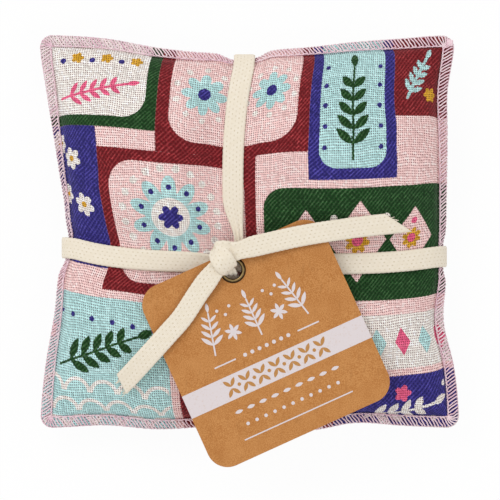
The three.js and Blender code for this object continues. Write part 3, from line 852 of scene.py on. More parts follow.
@dataclass(frozen=True)
class PrintingInk:
    """Opaque ink screened on the card, matt, broken a little by the card's grain."""

    name: str
    body: str
    wear_and_highlight: str

    def material(self) -> bpy.types.Material:
        """Builds the node material from the print's own places, in metres.

        Returns:
            The material.
        """
        material, add = start_material(self.name)
        grain = noise(add, add("TexCoord", out=3), 1.6 / MM, 3.0)
        share = add("MapRange", grain, 0.56, 0.72, 0.0, 0.35)
        colour = tint(add, share, self.body, self.wear_and_highlight)
        finish_material(add, colour, grain, 0.02 * MM, 0.3, Roughness=0.7, Specular_IOR_Level=0.3)
        return material


@dataclass(frozen=True)
class AntiqueBrass:
    """Brass, chemically darkened and rubbed back: bright on the crest of the roll, brown in its hollows."""

    bright: str = "#86714b"
    dark: str = "#3a2c1e"

    def material(self) -> bpy.types.Material:
        """Builds the node material, which reads the field named crest.

        Returns:
            The material.
        """
        material, add = start_material("antique brass")
        crest = add("Attribute", attribute_name="crest", out=2)
        wear = noise(add, add("TexCoord", out=3), 1.4 / MM, 4.0)
        rubbed = add("Math:ADD", crest, add("MapRange", wear, 0.3, 0.7, -0.22, 0.22))
        share = add("MapRange", rubbed, 0.3, 0.72)
        colour = tint(add, share, self.dark, self.bright)
        finish_material(add, colour, wear, 0.01 * MM, 0.3, Metallic=1.0, Roughness=0.36)
        return material


@dataclass(frozen=True)
class DriedLavender:
    """Dried lavender buds: dull violet and grey-green grains of about 4 mm, rough and loose."""

    bud: str = "#6d6188"
    husk: str = "#8b8a6d"
    bud_size: float = 4.0  # mm

    def material(self) -> bpy.types.Material:
        """Builds the node material from the filling's own places, in metres.

        Returns:
            The material.
        """
        material, add = start_material("dried lavender buds")
        place = add("TexCoord", out=3)
        cell = add("TexVoronoi", place, inputs={"Scale": 1.0 / (self.bud_size * MM)})
        mottle = noise(add, place, 0.4 / MM, 3.0)
        colour = tint(add, mottle, self.bud, self.husk)
        height = add("Math:SUBTRACT", 1.0, cell)
        finish_material(add, colour, height, 0.8 * MM, 0.8, Roughness=0.95, Specular_IOR_Level=0.2)
        return material


# ---- the print


@dataclass
class Patchwork:
    """A print of framed patches with leaves, daisies, dots, stripes and scallops, in mm on the flat cloth."""

    x: np.ndarray
    y: np.ndarray
    depths: dict = field(init=False)  # each ink's distance from every place, in mm

    def __post_init__(self) -> None:
        """Starts every ink far from every place."""
        self.depths = {ink: np.full(self.x.shape, 9.0) for ink in Ink}

    def paint(self, ink: Ink | None, shape: np.ndarray) -> None:
        """Lays a shape in one ink over the rest.

        Args:
            ink: The ink, or None for the bare ground.
            shape: Distance from the shape's outline in mm, negative inside.
        """
        for other in set(Ink) - {ink}:
            self.depths[other] = np.maximum(self.depths[other], -shape)
        if ink is not None:
            self.depths[ink] = np.minimum(self.depths[ink], shape)

    def box(self, x0: float, y0: float, x1: float, y1: float, radius: float = 0.0) -> np.ndarray:
        """Distance from a rectangle with rounded corners.

        Args:
            x0: Its left side.
            y0: Its lower side.
            x1: Its right side.
            y1: Its upper side.
            radius: Radius of its corners.

        Returns:
            The distances in mm, negative inside.
        """
        across = np.abs(self.x - (x0 + x1) / 2.0) - (x1 - x0) / 2.0 + radius
        along = np.abs(self.y - (y0 + y1) / 2.0) - (y1 - y0) / 2.0 + radius
        outside = np.hypot(np.maximum(across, 0.0), np.maximum(along, 0.0))
        return outside + np.minimum(np.maximum(across, along), 0.0) - radius

    def dot(self, x: float, y: float, radius: float) -> np.ndarray:
        """Distance from a round dot."""
        return np.hypot(self.x - x, self.y - y) - radius

    def stroke(self, x: float, y: float, degrees: float, length: float, width: float) -> np.ndarray:
        """Distance from a straight stroke with round ends that starts at a point."""
        along, across = along_way(self.x - x, self.y - y, degrees)
        return np.hypot(along - np.clip(along, 0.0, length), across) - width / 2.0

    def leaf(self, x: float, y: float, degrees: float, length: float, width: float) -> np.ndarray:
        """Distance from a pointed leaf that starts at a point."""
        along, across = along_way(self.x - x, self.y - y, degrees)
        return (np.abs(across) / (width / 2.0) + (2.0 * along / length - 1.0) ** 2 - 1.0) * width * 0.36

    def daisy(self, x: float, y: float, radius: float, petals: int, turn: float = 0.0) -> np.ndarray:
        """Distance from a flower of rounded petals.

        Args:
            x: Its middle, across.
            y: Its middle, along.
            radius: From its middle to a petal's tip.
            petals: How many.
            turn: How far it is turned, in radians.

        Returns:
            The distances in mm, negative inside.
        """
        dx, dy = self.x - x, self.y - y
        swing = np.abs(np.cos(petals * (np.arctan2(dy, dx) + turn) / 2.0))
        return (np.hypot(dx, dy) - radius * (0.5 + 0.5 * swing ** 0.7)) * 0.8

    def lozenge(self, x: float, y: float, wide: float, tall: float, scale: float) -> np.ndarray:
        """Distance from a lozenge, given its reach each way and what turns that into mm."""
        return (np.abs(self.x - x) / wide + np.abs(self.y - y) / tall - 1.0) * scale

    def flower(self, inks: tuple, x: float, y: float, radius: float, petals: int, core: float,
               turn: float = 0.0) -> None:
        """Paints a flower in one ink with a round middle in another."""
        self.paint(inks[0], self.daisy(x, y, radius, petals, turn))
        self.paint(inks[1], self.dot(x, y, core))

    def framed(self, x0: float, y0: float, x1: float, y1: float, edge: Ink | None, inside: Ink | None,
               border: float = 3.6, radius: float = 6.0) -> None:
        """Paints a patch: a frame and, inside it, a ground with rounded corners."""
        self.paint(edge, self.box(x0, y0, x1, y1))
        self.paint(inside, self.box(x0 + border, y0 + border, x1 - border, y1 - border, radius))

    def sprig(self, ink: Ink, x: float, y: float, degrees: float, length: float, pairs: int,
              leaf: float, width: float = 1.9) -> None:
        """Paints a stem with pairs of leaves and one at its tip.

        Args:
            ink: Its ink.
            x: Its foot, across.
            y: Its foot, along.
            degrees: Its way.
            length: Its length.
            pairs: How many pairs of leaves.
            leaf: The lowest leaves' length.
            width: A leaf's width.
        """
        turn = math.radians(degrees)
        self.paint(ink, self.stroke(x, y, degrees, length, 0.8))
        for k in range(pairs):
            at = away(x, y, turn, length * (0.16 + 0.76 * k / pairs))
            for side in (-1, 1):
                size = leaf * (1.0 - 0.35 * k / pairs)
                self.paint(ink, self.leaf(*at, degrees + side * 48.0, size, width))
        self.paint(ink, self.leaf(*away(x, y, turn, length), degrees, leaf * 0.8, width))

    def dots_round(self, ink: Ink, x: float, y: float, reach: float, count: int, radius: float) -> None:
        """Paints a ring of dots."""
        for k in range(count):
            self.paint(ink, self.dot(*away(x, y, TAU * (k + 0.5) / count, reach), radius))

    def scallops(self, ink: Ink, within: np.ndarray, y0: float, pitch: float, rows: int, line: float) -> None:
        """Paints rows of arcs inside a shape.

        Args:
            ink: Their ink.
            within: Distance from the shape's outline.
            y0: The lowest row's place.
            pitch: Distance between arcs.
            rows: How many rows.
            line: Width of a line.
        """
        for row in range(rows):
            low = y0 + row * pitch * 0.75
            across = np.mod(self.x + (row % 2) * pitch / 2.0, pitch) - pitch / 2.0
            arc = np.abs(np.hypot(across, self.y - low) - pitch * 0.46) - line / 2.0
            self.paint(ink, np.maximum(np.maximum(arc, low - self.y), within))

    def draw(self) -> None:
        """Paints the whole print."""
        # Top row: a leafy stem over small flowers, a pair of daisies, a tall stem, a stem on a dark patch
        self.framed(-80.0, 30.0, -28.0, 80.0, Ink.GREEN, Ink.WHITE, 3.4, 7.0)
        self.sprig(Ink.HOT_PINK, -57.5, 38.5, 14.0, 21.0, 5, 5.2, 1.5)
        for k in range(3):
            self.paint(Ink.INDIGO, self.dot(-56.5 + 8.6 * k, 51.0, 0.95))
            self.paint(Ink.MUSTARD, self.daisy(-52.2 + 8.6 * k, 51.8, 1.9, 5))
        self.framed(-28.0, 24.0, 18.0, 80.0, Ink.MAROON, None, 3.6, 8.0)
        for x, y, size in ((-14.4, 43.0, 6.6), (5.6, 43.6, 5.8)):
            self.flower((Ink.AQUA, Ink.INDIGO), x, y, size, 8, size * 0.3)
            self.dots_round(Ink.WHITE, x, y, size + 1.9, 10, 0.75)
        self.framed(18.0, 16.0, 44.0, 80.0, Ink.INDIGO, Ink.AQUA, 3.2, 5.0)
        self.sprig(Ink.GREEN, 31.0, 21.5, 90.0, 27.0, 5, 7.0, 2.6)
        for k in range(5):
            for side in (-1, 1):
                self.paint(Ink.INDIGO, self.dot(31.0 + side * 8.3, 25.0 + 6.0 * k, 0.8))
        self.framed(44.0, 34.0, 80.0, 80.0, Ink.MAROON, Ink.MAROON)
        self.sprig(Ink.AQUA, 48.4, 39.4, 64.0, 14.0, 4, 4.4, 1.4)
        self.paint(Ink.MUSTARD, self.daisy(56.4, 40.6, 2.3, 6))
        # Middle row: daisies on a dark patch, a large flower, three lozenges on a green one
        self.framed(-80.0, -12.0, -46.0, 30.0, Ink.INDIGO, Ink.INDIGO)
        for x, y in ((-55.5, 19.5), (-52.5, 5.5), (-60.5, 8.0), (-61.5, 24.5)):
            self.flower((Ink.WHITE, Ink.MUSTARD), x, y, 3.5, 6, 0.95, 0.3)
        self.framed(-46.0, -18.0, 2.0, 24.0, Ink.MAROON, None, 3.2, 8.0)
        middle = (-24.5, 4.6)
        self.flower((Ink.AQUA, Ink.WHITE), *middle, 12.4, 10, 6.0, math.pi / 10.0)
        self.paint(Ink.INDIGO, self.daisy(*middle, 4.0, 6))
        self.dots_round(Ink.INDIGO, *middle, 9.2, 10, 0.9)
        self.dots_round(Ink.WHITE, *middle, 14.8, 20, 1.0)
        self.framed(2.0, -22.0, 80.0, 16.0, None, Ink.GREEN, 2.4, 6.0)
        for k, (x, half) in enumerate(((17.0, 7.0), (33.0, 9.0), (50.0, 7.0))):
            self.paint(None, self.lozenge(x, -2.0, half, half * 1.35, half * 0.8))
            self.flower((Ink.MUSTARD, Ink.HOT_PINK), x, -2.0, half * 0.42, 8, half * 0.19, 0.2)
            for side in (-1, 1):
                self.paint(Ink.HOT_PINK, self.dot(x, -2.0 + side * half * 0.75, 0.8))
                if k < 2:
                    self.paint(Ink.WHITE, self.dot(x + 8.2, -2.0 + side * 7.0, 1.0))
        # Bottom row: scallops and a leafy stem, stripes, a row of lozenges over a stem on a dark patch
        self.framed(-80.0, -80.0, -22.0, -18.0, None, Ink.AQUA, 2.6, 6.0)
        low_left = self.box(-77.0, -77.0, -25.0, -21.0, 6.0)
        self.scallops(Ink.WHITE, low_left, -60.0, 8.0, 3, 1.1)
        self.sprig(Ink.GREEN, -58.0, -41.0, 24.0, 26.0, 5, 7.0, 2.6)
        for k in range(6):
            self.paint(Ink.INDIGO, self.dot(-61.0 + 6.4 * k, -26.0 - 0.4 * k, 0.85))
        self.paint(None, self.box(-80.0, -34.0, -62.0, -30.0, 1.0))
        self.framed(-22.0, -80.0, 24.0, -22.0, Ink.MAROON, Ink.WHITE, 3.2, 7.0)
        for k in range(5):
            self.paint(None, self.box(-16.0 + 8.0 * k, -80.0, -12.5 + 8.0 * k, -30.0, 1.6))
        self.framed(24.0, -42.0, 80.0, -22.0, None, Ink.WHITE, 2.2, 3.0)
        for k in range(5):
            self.paint(Ink.AQUA if k % 2 else Ink.HOT_PINK, self.lozenge(31.0 + 7.6 * k, -32.0, 2.5, 4.2, 2.1))
        self.framed(24.0, -80.0, 80.0, -42.0, Ink.INDIGO, Ink.INDIGO)
        self.sprig(Ink.WHITE, 34.0, -58.0, 18.0, 22.0, 4, 6.2, 2.2)
        self.paint(Ink.HOT_PINK, self.daisy(45.0, -47.5, 2.6, 5))
        for x, y in ((29.0, -47.5), (36.0, -46.5), (56.0, -57.0), (59.0, -46.0)):
            self.paint(Ink.WHITE, self.dot(x, y, 0.85))


# ---- the linen pouch


@dataclass
class LinenPouch:
    """The stuffed pouch: two printed panels, crowned over the lavender, sewn together and flat at the seam."""

    form: PouchForm
    front_columns: int = 288
    back_columns: int = 200
    filling_columns: int = 44
    allowance_rows: int = 4
    fine_steps: int = 2000  # for measuring along the cloth
    inner_step: int = 4  # the outer face's steps to one of the inner face's
    back_shift: tuple = (9.0, 7.0)  # mm that the print lies aside on the back
    bud_inset: float = 1.2  # mm from the outer face to the buds
    bud_share: float = 0.965

    def lines(self, columns: int) -> np.ndarray:
        """Places from seam to seam, evenly spaced along the crowned cloth.

        Args:
            columns: How many steps.

        Returns:
            The places, from -1 to 1.
        """
        fine = crowded_ends(self.fine_steps + 1)
        rise = 0.8 * self.form.front_crown * self.form.fullness(fine, np.zeros_like(fine))
        steps = np.hypot(np.diff(fine * self.form.half_width), np.diff(rise))
        reach = np.concatenate([[0.0], np.cumsum(steps)])
        return np.interp(np.linspace(0.0, reach[-1], columns + 1), reach, fine)

    def outer_face(self, side: int, columns: int) -> np.ndarray:
        """The outer face of a panel, with its seam allowance.

        Args:
            side: 1 for the front panel, -1 for the back.
            columns: Steps from seam to seam, both ways.

        Returns:
            A square grid of points, in mm.
        """
        form, rows = self.form, self.allowance_rows
        beyond = np.arange(1, rows + 1) / rows * form.allowance
        place = np.concatenate([np.full(rows, -1.0), self.lines(columns), np.full(rows, 1.0)])
        reach = np.concatenate([beyond[::-1], np.zeros(columns + 1), beyond])
        u, v = np.meshgrid(place, place, indexing="ij")
        reach_x, reach_y = np.meshgrid(reach, reach, indexing="ij")
        out_x, out_y = np.sign(u) * (reach_x > 0.0), np.sign(v) * (reach_y > 0.0)
        rounding = np.maximum(reach_x, reach_y) / np.maximum(np.hypot(reach_x, reach_y), TINY)
        seam, way_x, way_y, up = form.seam_frame(u, v, out_x, out_y)
        flat = seam + way_x * (reach_x * rounding)[..., None] + way_y * (reach_y * rounding)[..., None]
        flat = flat + up * (side * form.sheet_offset)
        return np.where((reach_x + reach_y > 0.0)[..., None], flat, form.surface(side, u, v))

    def flat_places(self, grid: np.ndarray, columns: int) -> np.ndarray:
        """Where each point lay on the flat cloth, worked out from lengths along the cloth.

        Args:
            grid: The face's grid of points.
            columns: Steps from seam to seam.

        Returns:
            A grid of places in mm, from the panel's middle.
        """
        rows, places = self.allowance_rows, []
        for axis, half in ((0, self.form.half_width), (1, self.form.half_depth)):
            turned = grid if axis == 0 else grid.transpose(1, 0, 2)
            steps = np.linalg.norm(np.diff(turned, axis=0), axis=2)
            reach = np.vstack([np.zeros(len(turned)), np.cumsum(steps, axis=0)])
            reach = reach - reach[rows + columns // 2]
            share = np.where(reach < 0.0, -reach / reach[rows], reach / reach[rows + columns])
            places.append((share if axis == 0 else share.T) * half)
        return np.stack(places, axis=-1)

    def panel(self, name: str, node: str, side: int, columns: int, finish: bpy.types.Material) -> None:
        """Builds one panel, closed: a fine outer face, a coarser inner face and a rim.

        Args:
            name: The piece's name.
            node: The CAD node that it stands for.
            side: 1 for the front panel, -1 for the back.
            columns: Steps from seam to seam. It and the allowance's rows divide by the inner step.
            finish: The printed linen.
        """
        outer, step = self.outer_face(side, columns), self.inner_step
        cloth = self.flat_places(outer, columns)
        normals = unit(np.cross(np.gradient(outer, axis=0), np.gradient(outer, axis=1))) * side
        inner = (outer - normals * self.form.fabric)[::step, ::step]
        start = len(outer) ** 2
        faces = grid_quads(len(outer)).tolist() + grid_quads(len(inner), start)[:, ::-1].tolist()
        rim, inner_rim = grid_border(len(outer)), grid_border(len(inner), start)
        for k, (near, ahead) in enumerate(zip(inner_rim, np.roll(inner_rim, -1))):
            a, b, c, d, e = rim[(step * k + np.arange(step + 1)) % len(rim)]
            faces.extend([[b, a, near], [c, b, near], [c, near, ahead], [d, c, ahead], [e, d, ahead]])
        if side < 0:
            faces = [face[::-1] for face in faces]
        flat = np.vstack([cloth.reshape(-1, 2), cloth[::step, ::step].reshape(-1, 2)])
        piece = make_piece(name, np.vstack([outer.reshape(-1, 3), inner.reshape(-1, 3)]), faces, flat)
        aside, along = self.back_shift
        artwork = Patchwork(*(flat.T if side > 0 else (aside - flat[:, 0], flat[:, 1] - along)))
        artwork.draw()
        for ink, depth in artwork.depths.items():
            add_field(piece, "ink_" + ink.name.lower(), depth)
        dress(piece, "sachet", "printed_linen", finish, node)

    def buds(self) -> None:
        """Builds the lavender filling, a closed body just inside the panels."""
        place = self.lines(self.filling_columns) * self.bud_share
        u, v = np.meshgrid(place, place, indexing="ij")
        skins = [self.form.surface(side, u, v, self.bud_inset).reshape(-1, 3) for side in (1, -1)]
        quads, ring, low = grid_quads(len(place)), grid_border(len(place)), len(place) ** 2
        ahead = np.roll(ring, -1)
        rim = np.stack([ahead, ring, ring + low, ahead + low], axis=1)
        piece = make_piece("lavender_buds", np.vstack(skins), [*quads, *(quads + low)[:, ::-1], *rim])
        dress(piece, "sachet", "dried_lavender", DriedLavender().material(), "lavender_filling")

    def build(self) -> None:
        """Builds the panels and the filling."""
        linen = PrintedLinen().material()
        self.panel("front_linen", "front_panel", 1, self.front_columns, linen)
        self.panel("back_linen", "back_panel", -1, self.back_columns, linen)
        self.buds()


# ---- the overlocked seam


@dataclass
class OverlockSeam:
    """Three-thread overlocking: a needle line, a looper thread over the front and one over the back and edge."""

    form: PouchForm
    pitch: float = 2.1  # mm along the edge
    radius: float = 0.23
    needle_reach: float = 0.35  # mm out from the seam, where the needle thread's pitch is measured
    looper_reach: float = 3.4  # and where the loopers' is
    # Along the edge in pitches, out from the seam and up off its middle in mm
    upper_stitch: tuple = ((0.0, 0.7, 0.9), (0.1, 1.1, 0.96), (0.42, 2.1, 0.98), (0.72, 3.1, 0.84), (0.84, 3.44, 0.5),
                           (0.9, 3.5, 0.0), (1.26, 3.5, 0.0), (1.3, 3.44, 0.5), (1.22, 3.1, 0.84),
                           (0.9, 2.1, 0.98), (0.58, 1.1, 0.96), (0.5, 0.7, 0.92), (0.68, 0.42, 1.1), (0.88, 0.42, 1.1))
    lower_stitch: tuple = ((0.0, 1.6, -0.9), (0.3, 2.3, -0.98), (0.7, 3.1, -0.84), (0.85, 3.44, -0.4),
                           (0.95, 3.52, 0.25), (1.15, 3.52, 0.25), (1.25, 3.44, -0.4), (1.2, 3.1, -0.84),
                           (0.8, 2.3, -0.98), (0.55, 1.6, -0.9), (0.75, 1.3, -0.95))
    needle_stitch: tuple = ((0.0, 0.35, 0.6), (0.08, 0.35, 0.84), (0.3, 0.35, 0.9), (0.4, 0.37, 0.84),
                            (0.46, 0.37, 0.6), (0.5, 0.35, 0.6), (0.58, 0.35, 0.84), (0.8, 0.35, 0.9),
                            (0.9, 0.33, 0.84), (0.96, 0.33, 0.6))
    side_steps: int = 400
    corner_steps: int = 24
    chain_turns: float = 2.5
    chain_spread: tuple = (1.1, 0.75)  # mm from the chain's middle to its threads, at its ends
    chain_inset: tuple = (-1.5, -0.95)  # mm from its stand-in's low and high end
    chain_rise: float = 0.75  # mm that the chain lies back over the corner from its stand-in, and up
    uneven: float = 0.05  # spread of the stitches' places, in pitches
    slack: float = 0.16  # mm that a loose thread falls short at most
    first_seed: int = 5  # of the stitches

    def edge(self, reach: float) -> tuple[np.ndarray, np.ndarray]:
        """The seam all the way round, with arcs round its corners.

        Args:
            reach: Distance out at which lengths are measured.

        Returns:
            Rows of seam place, way out and way up, the last the same as the first, and the length at each row.
        """
        steps = np.linspace(-1.0, 1.0, self.side_steps + 1)
        quarter = np.linspace(0.0, math.pi / 2.0, self.corner_steps + 1)[1:-1, None]
        level = np.ones_like(steps)
        rows = []
        for out_x, out_y in ((1, 0), (0, 1), (-1, 0), (0, -1)):
            u, v = out_x - steps * out_y, out_y + steps * out_x
            place, way_x, way_y, up = self.form.seam_frame(u, v, out_x * level, out_y * level)
            rows.append(np.hstack([place, way_x + way_y, up]))
            swing = np.cos(quarter) * (out_x, out_y, 0.0) + np.sin(quarter) * (-out_y, out_x, 0.0)
            still = np.ones_like(quarter)
            rows.append(np.hstack([still * place[-1], swing, still * (0.0, 0.0, 1.0)]))
        line = np.vstack([*rows, rows[0][:1]])
        return line, lengths_along(line[:, :3] + line[:, 3:6] * reach)

    def stitches(self, stitch: tuple, reach: float, ahead: float, seed: int) -> np.ndarray:
        """One thread's path through all its stitches.

        Args:
            stitch: Rows of place along in pitches, out and up in mm.
            reach: Distance out at which the pitch is measured.
            ahead: How far on the first stitch starts, in pitches.
            seed: Seed of the stitches' unevenness.

        Returns:
            The closed path's points, in mm.
        """
        line, lengths = self.edge(reach)
        count = round(lengths[-1] / self.pitch)
        pitch = lengths[-1] / count
        rng = np.random.default_rng(seed)
        rows = np.tile(np.array(stitch), (count, 1))
        number = np.repeat(np.arange(count), len(stitch))
        along = (rows[:, 0] + number + ahead + rng.normal(0.0, self.uneven, len(rows))) * pitch % lengths[-1]
        loose = (rows[:, 1] > 1.0) & (rows[:, 1] < self.looper_reach)
        slack = np.repeat(rng.uniform(-self.slack, 0.0, count), len(stitch)) * loose
        at = np.stack([np.interp(along, lengths, column) for column in line.T], axis=1)
        out = (rows[:, 1] + slack)[:, None]
        return at[:, :3] + unit(at[:, 3:6]) * out + unit(at[:, 6:9]) * rows[:, 2:3]

    def build(self) -> None:
        """Builds the three threads and the chain left where the overlocking ended."""
        wear = partial(dress, body="sachet", slot="overlock_thread", finish=SpunThread().material())
        plan = (("needle_stitches", "needle_thread", self.needle_stitch, self.needle_reach, 0.0),
                ("upper_looper", "upper_looper_thread", self.upper_stitch, self.looper_reach, 0.0),
                ("lower_looper", "lower_looper_thread", self.lower_stitch, self.looper_reach, 0.5))
        for seed, (name, node, *stitch) in enumerate(plan, self.first_seed):
            path = self.stitches(*stitch, seed)
            wear(make_piece(name, *thread_tube(path, self.radius, True, 5)), node=node)
        low, high = [np.array(corner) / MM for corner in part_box("overlock_chain_end")]
        middle = (low + high) / 2.0 + (0.0, self.chain_rise, self.chain_rise)
        share = np.linspace(0.0, 1.0, 48)
        start, end = [corner[0] + inset for corner, inset in zip((low, high), self.chain_inset)]
        spread, threads = mix(*self.chain_spread, share), []
        for k in range(3):
            angle = TAU * (share * self.chain_turns + k / 3.0)
            path = np.stack([mix(start, end, share), middle[1] + spread * np.cos(angle),
                             middle[2] + 0.6 * spread * np.sin(angle)], axis=1)
            threads.append(thread_tube(path, self.radius))
        wear(make_piece("thread_chain", *join_parts(threads)), node="overlock_chain_end")


# ---- the cotton tape


@dataclass(frozen=True)
class CottonTape:
    """The herringbone tape itself. A path's rows hold place, way across, width and crumple, in mm.

    A path whose end is cut askew has a ninth column, how far the tape's edges are pulled apart along it.
    """

    width: float = 6.3
    thickness: float = 0.66
    columns: int = 14
    selvedge: float = 0.09  # mm that the woven edge bulges at each weft turn
    selvedge_pitch: float = 1.5
    folds: float = 2.5  # across the tape where it is crumpled
    yarn_radius: float = 0.11
    yarn_root: float = 0.6  # mm that a frayed yarn starts inside the tape

    def ribbon(self, rows: np.ndarray, closed: bool = False) -> tuple:
        """Sweeps the tape along a path.

        Args:
            rows: The path, evenly spaced. The outer face is on the side of way cross across.
            closed: Whether the path ends where it starts.

        Returns:
            Points, faces and cloth places.
        """
        line, across = rows[:, :3], rows[:, 3:6]
        ways, along = ways_along(line, closed), lengths_along(line)
        across = unit(across - ways * np.sum(across * ways, axis=1, keepdims=True))
        up = np.cross(ways, across)
        share = np.linspace(-1.0, 1.0, self.columns)
        half = self.thickness / 2.0
        lift = half * np.minimum(1.0, np.sqrt(np.maximum(0.0, 1.0 - share ** 2)) * 1.8 + 0.22)
        section = np.concatenate([share, share[::-1]])
        height = np.concatenate([lift, -lift[::-1]])
        wave = self.selvedge * np.abs(np.sin(math.pi * along / self.selvedge_pitch))
        spread = section * (rows[:, 6:7] / 2.0 + wave[:, None] * (np.abs(section) > 0.95))
        crumple = rows[:, 7:8] * np.cos(TAU * self.folds * section / 2.0 + 0.6 * np.sin(along / 2.3)[:, None])
        off = height + crumple * (1.0 - 0.6 * section ** 2)
        skew = rows[:, 8:9] if rows.shape[1] > 8 else np.zeros((len(rows), 1))
        ahead = skew * section / 2.0
        points = (line[:, None] + across[:, None] * spread[..., None] + up[:, None] * off[..., None]
                  + ways[:, None] * ahead[..., None])
        flat = np.stack([np.broadcast_to(section * self.width / 2.0, spread.shape),
                         along[:, None] + ahead], axis=-1)
        return points.reshape(-1, 3), ring_faces(len(rows), 2 * self.columns, closed), flat.reshape(-1, 2)

    def fray(self, rows: np.ndarray, count: int, reach: float, seed: int) -> tuple:
        """Loose yarns at the cut end of a path.

        Args:
            rows: The tape's path. The yarns start at its last row.
            count: How many yarns.
            reach: Their longest reach, in mm.
            seed: Seed of their places and curls.

        Returns:
            Points, faces and cloth places.
        """
        rng = np.random.default_rng(seed)
        end, way = rows[-1], unit(rows[-1, :3] - rows[-4, :3])
        across = unit(end[3:6] - way * np.dot(end[3:6], way))
        up = np.cross(way, across)
        yarns = []
        for _ in range(count):
            side = rng.uniform(-0.95, 0.95)
            start = end[:3] + across * side * end[6] / 2.0 + way * (end[8] * side / 2.0 - self.yarn_root)
            length = self.yarn_root + reach * rng.uniform(0.25, 1.0)
            share = np.linspace(0.0, 1.0, 8)[:, None]
            sway, dip = rng.normal(0.0, 0.32, 2)
            path = start + way * share * length + across * sway * length * share ** 2
            path = path + up * (0.12 * dip - 0.14 * share) * length * share
            yarns.append(thread_tube(path, self.yarn_radius, False, 5))
        return join_parts(yarns)


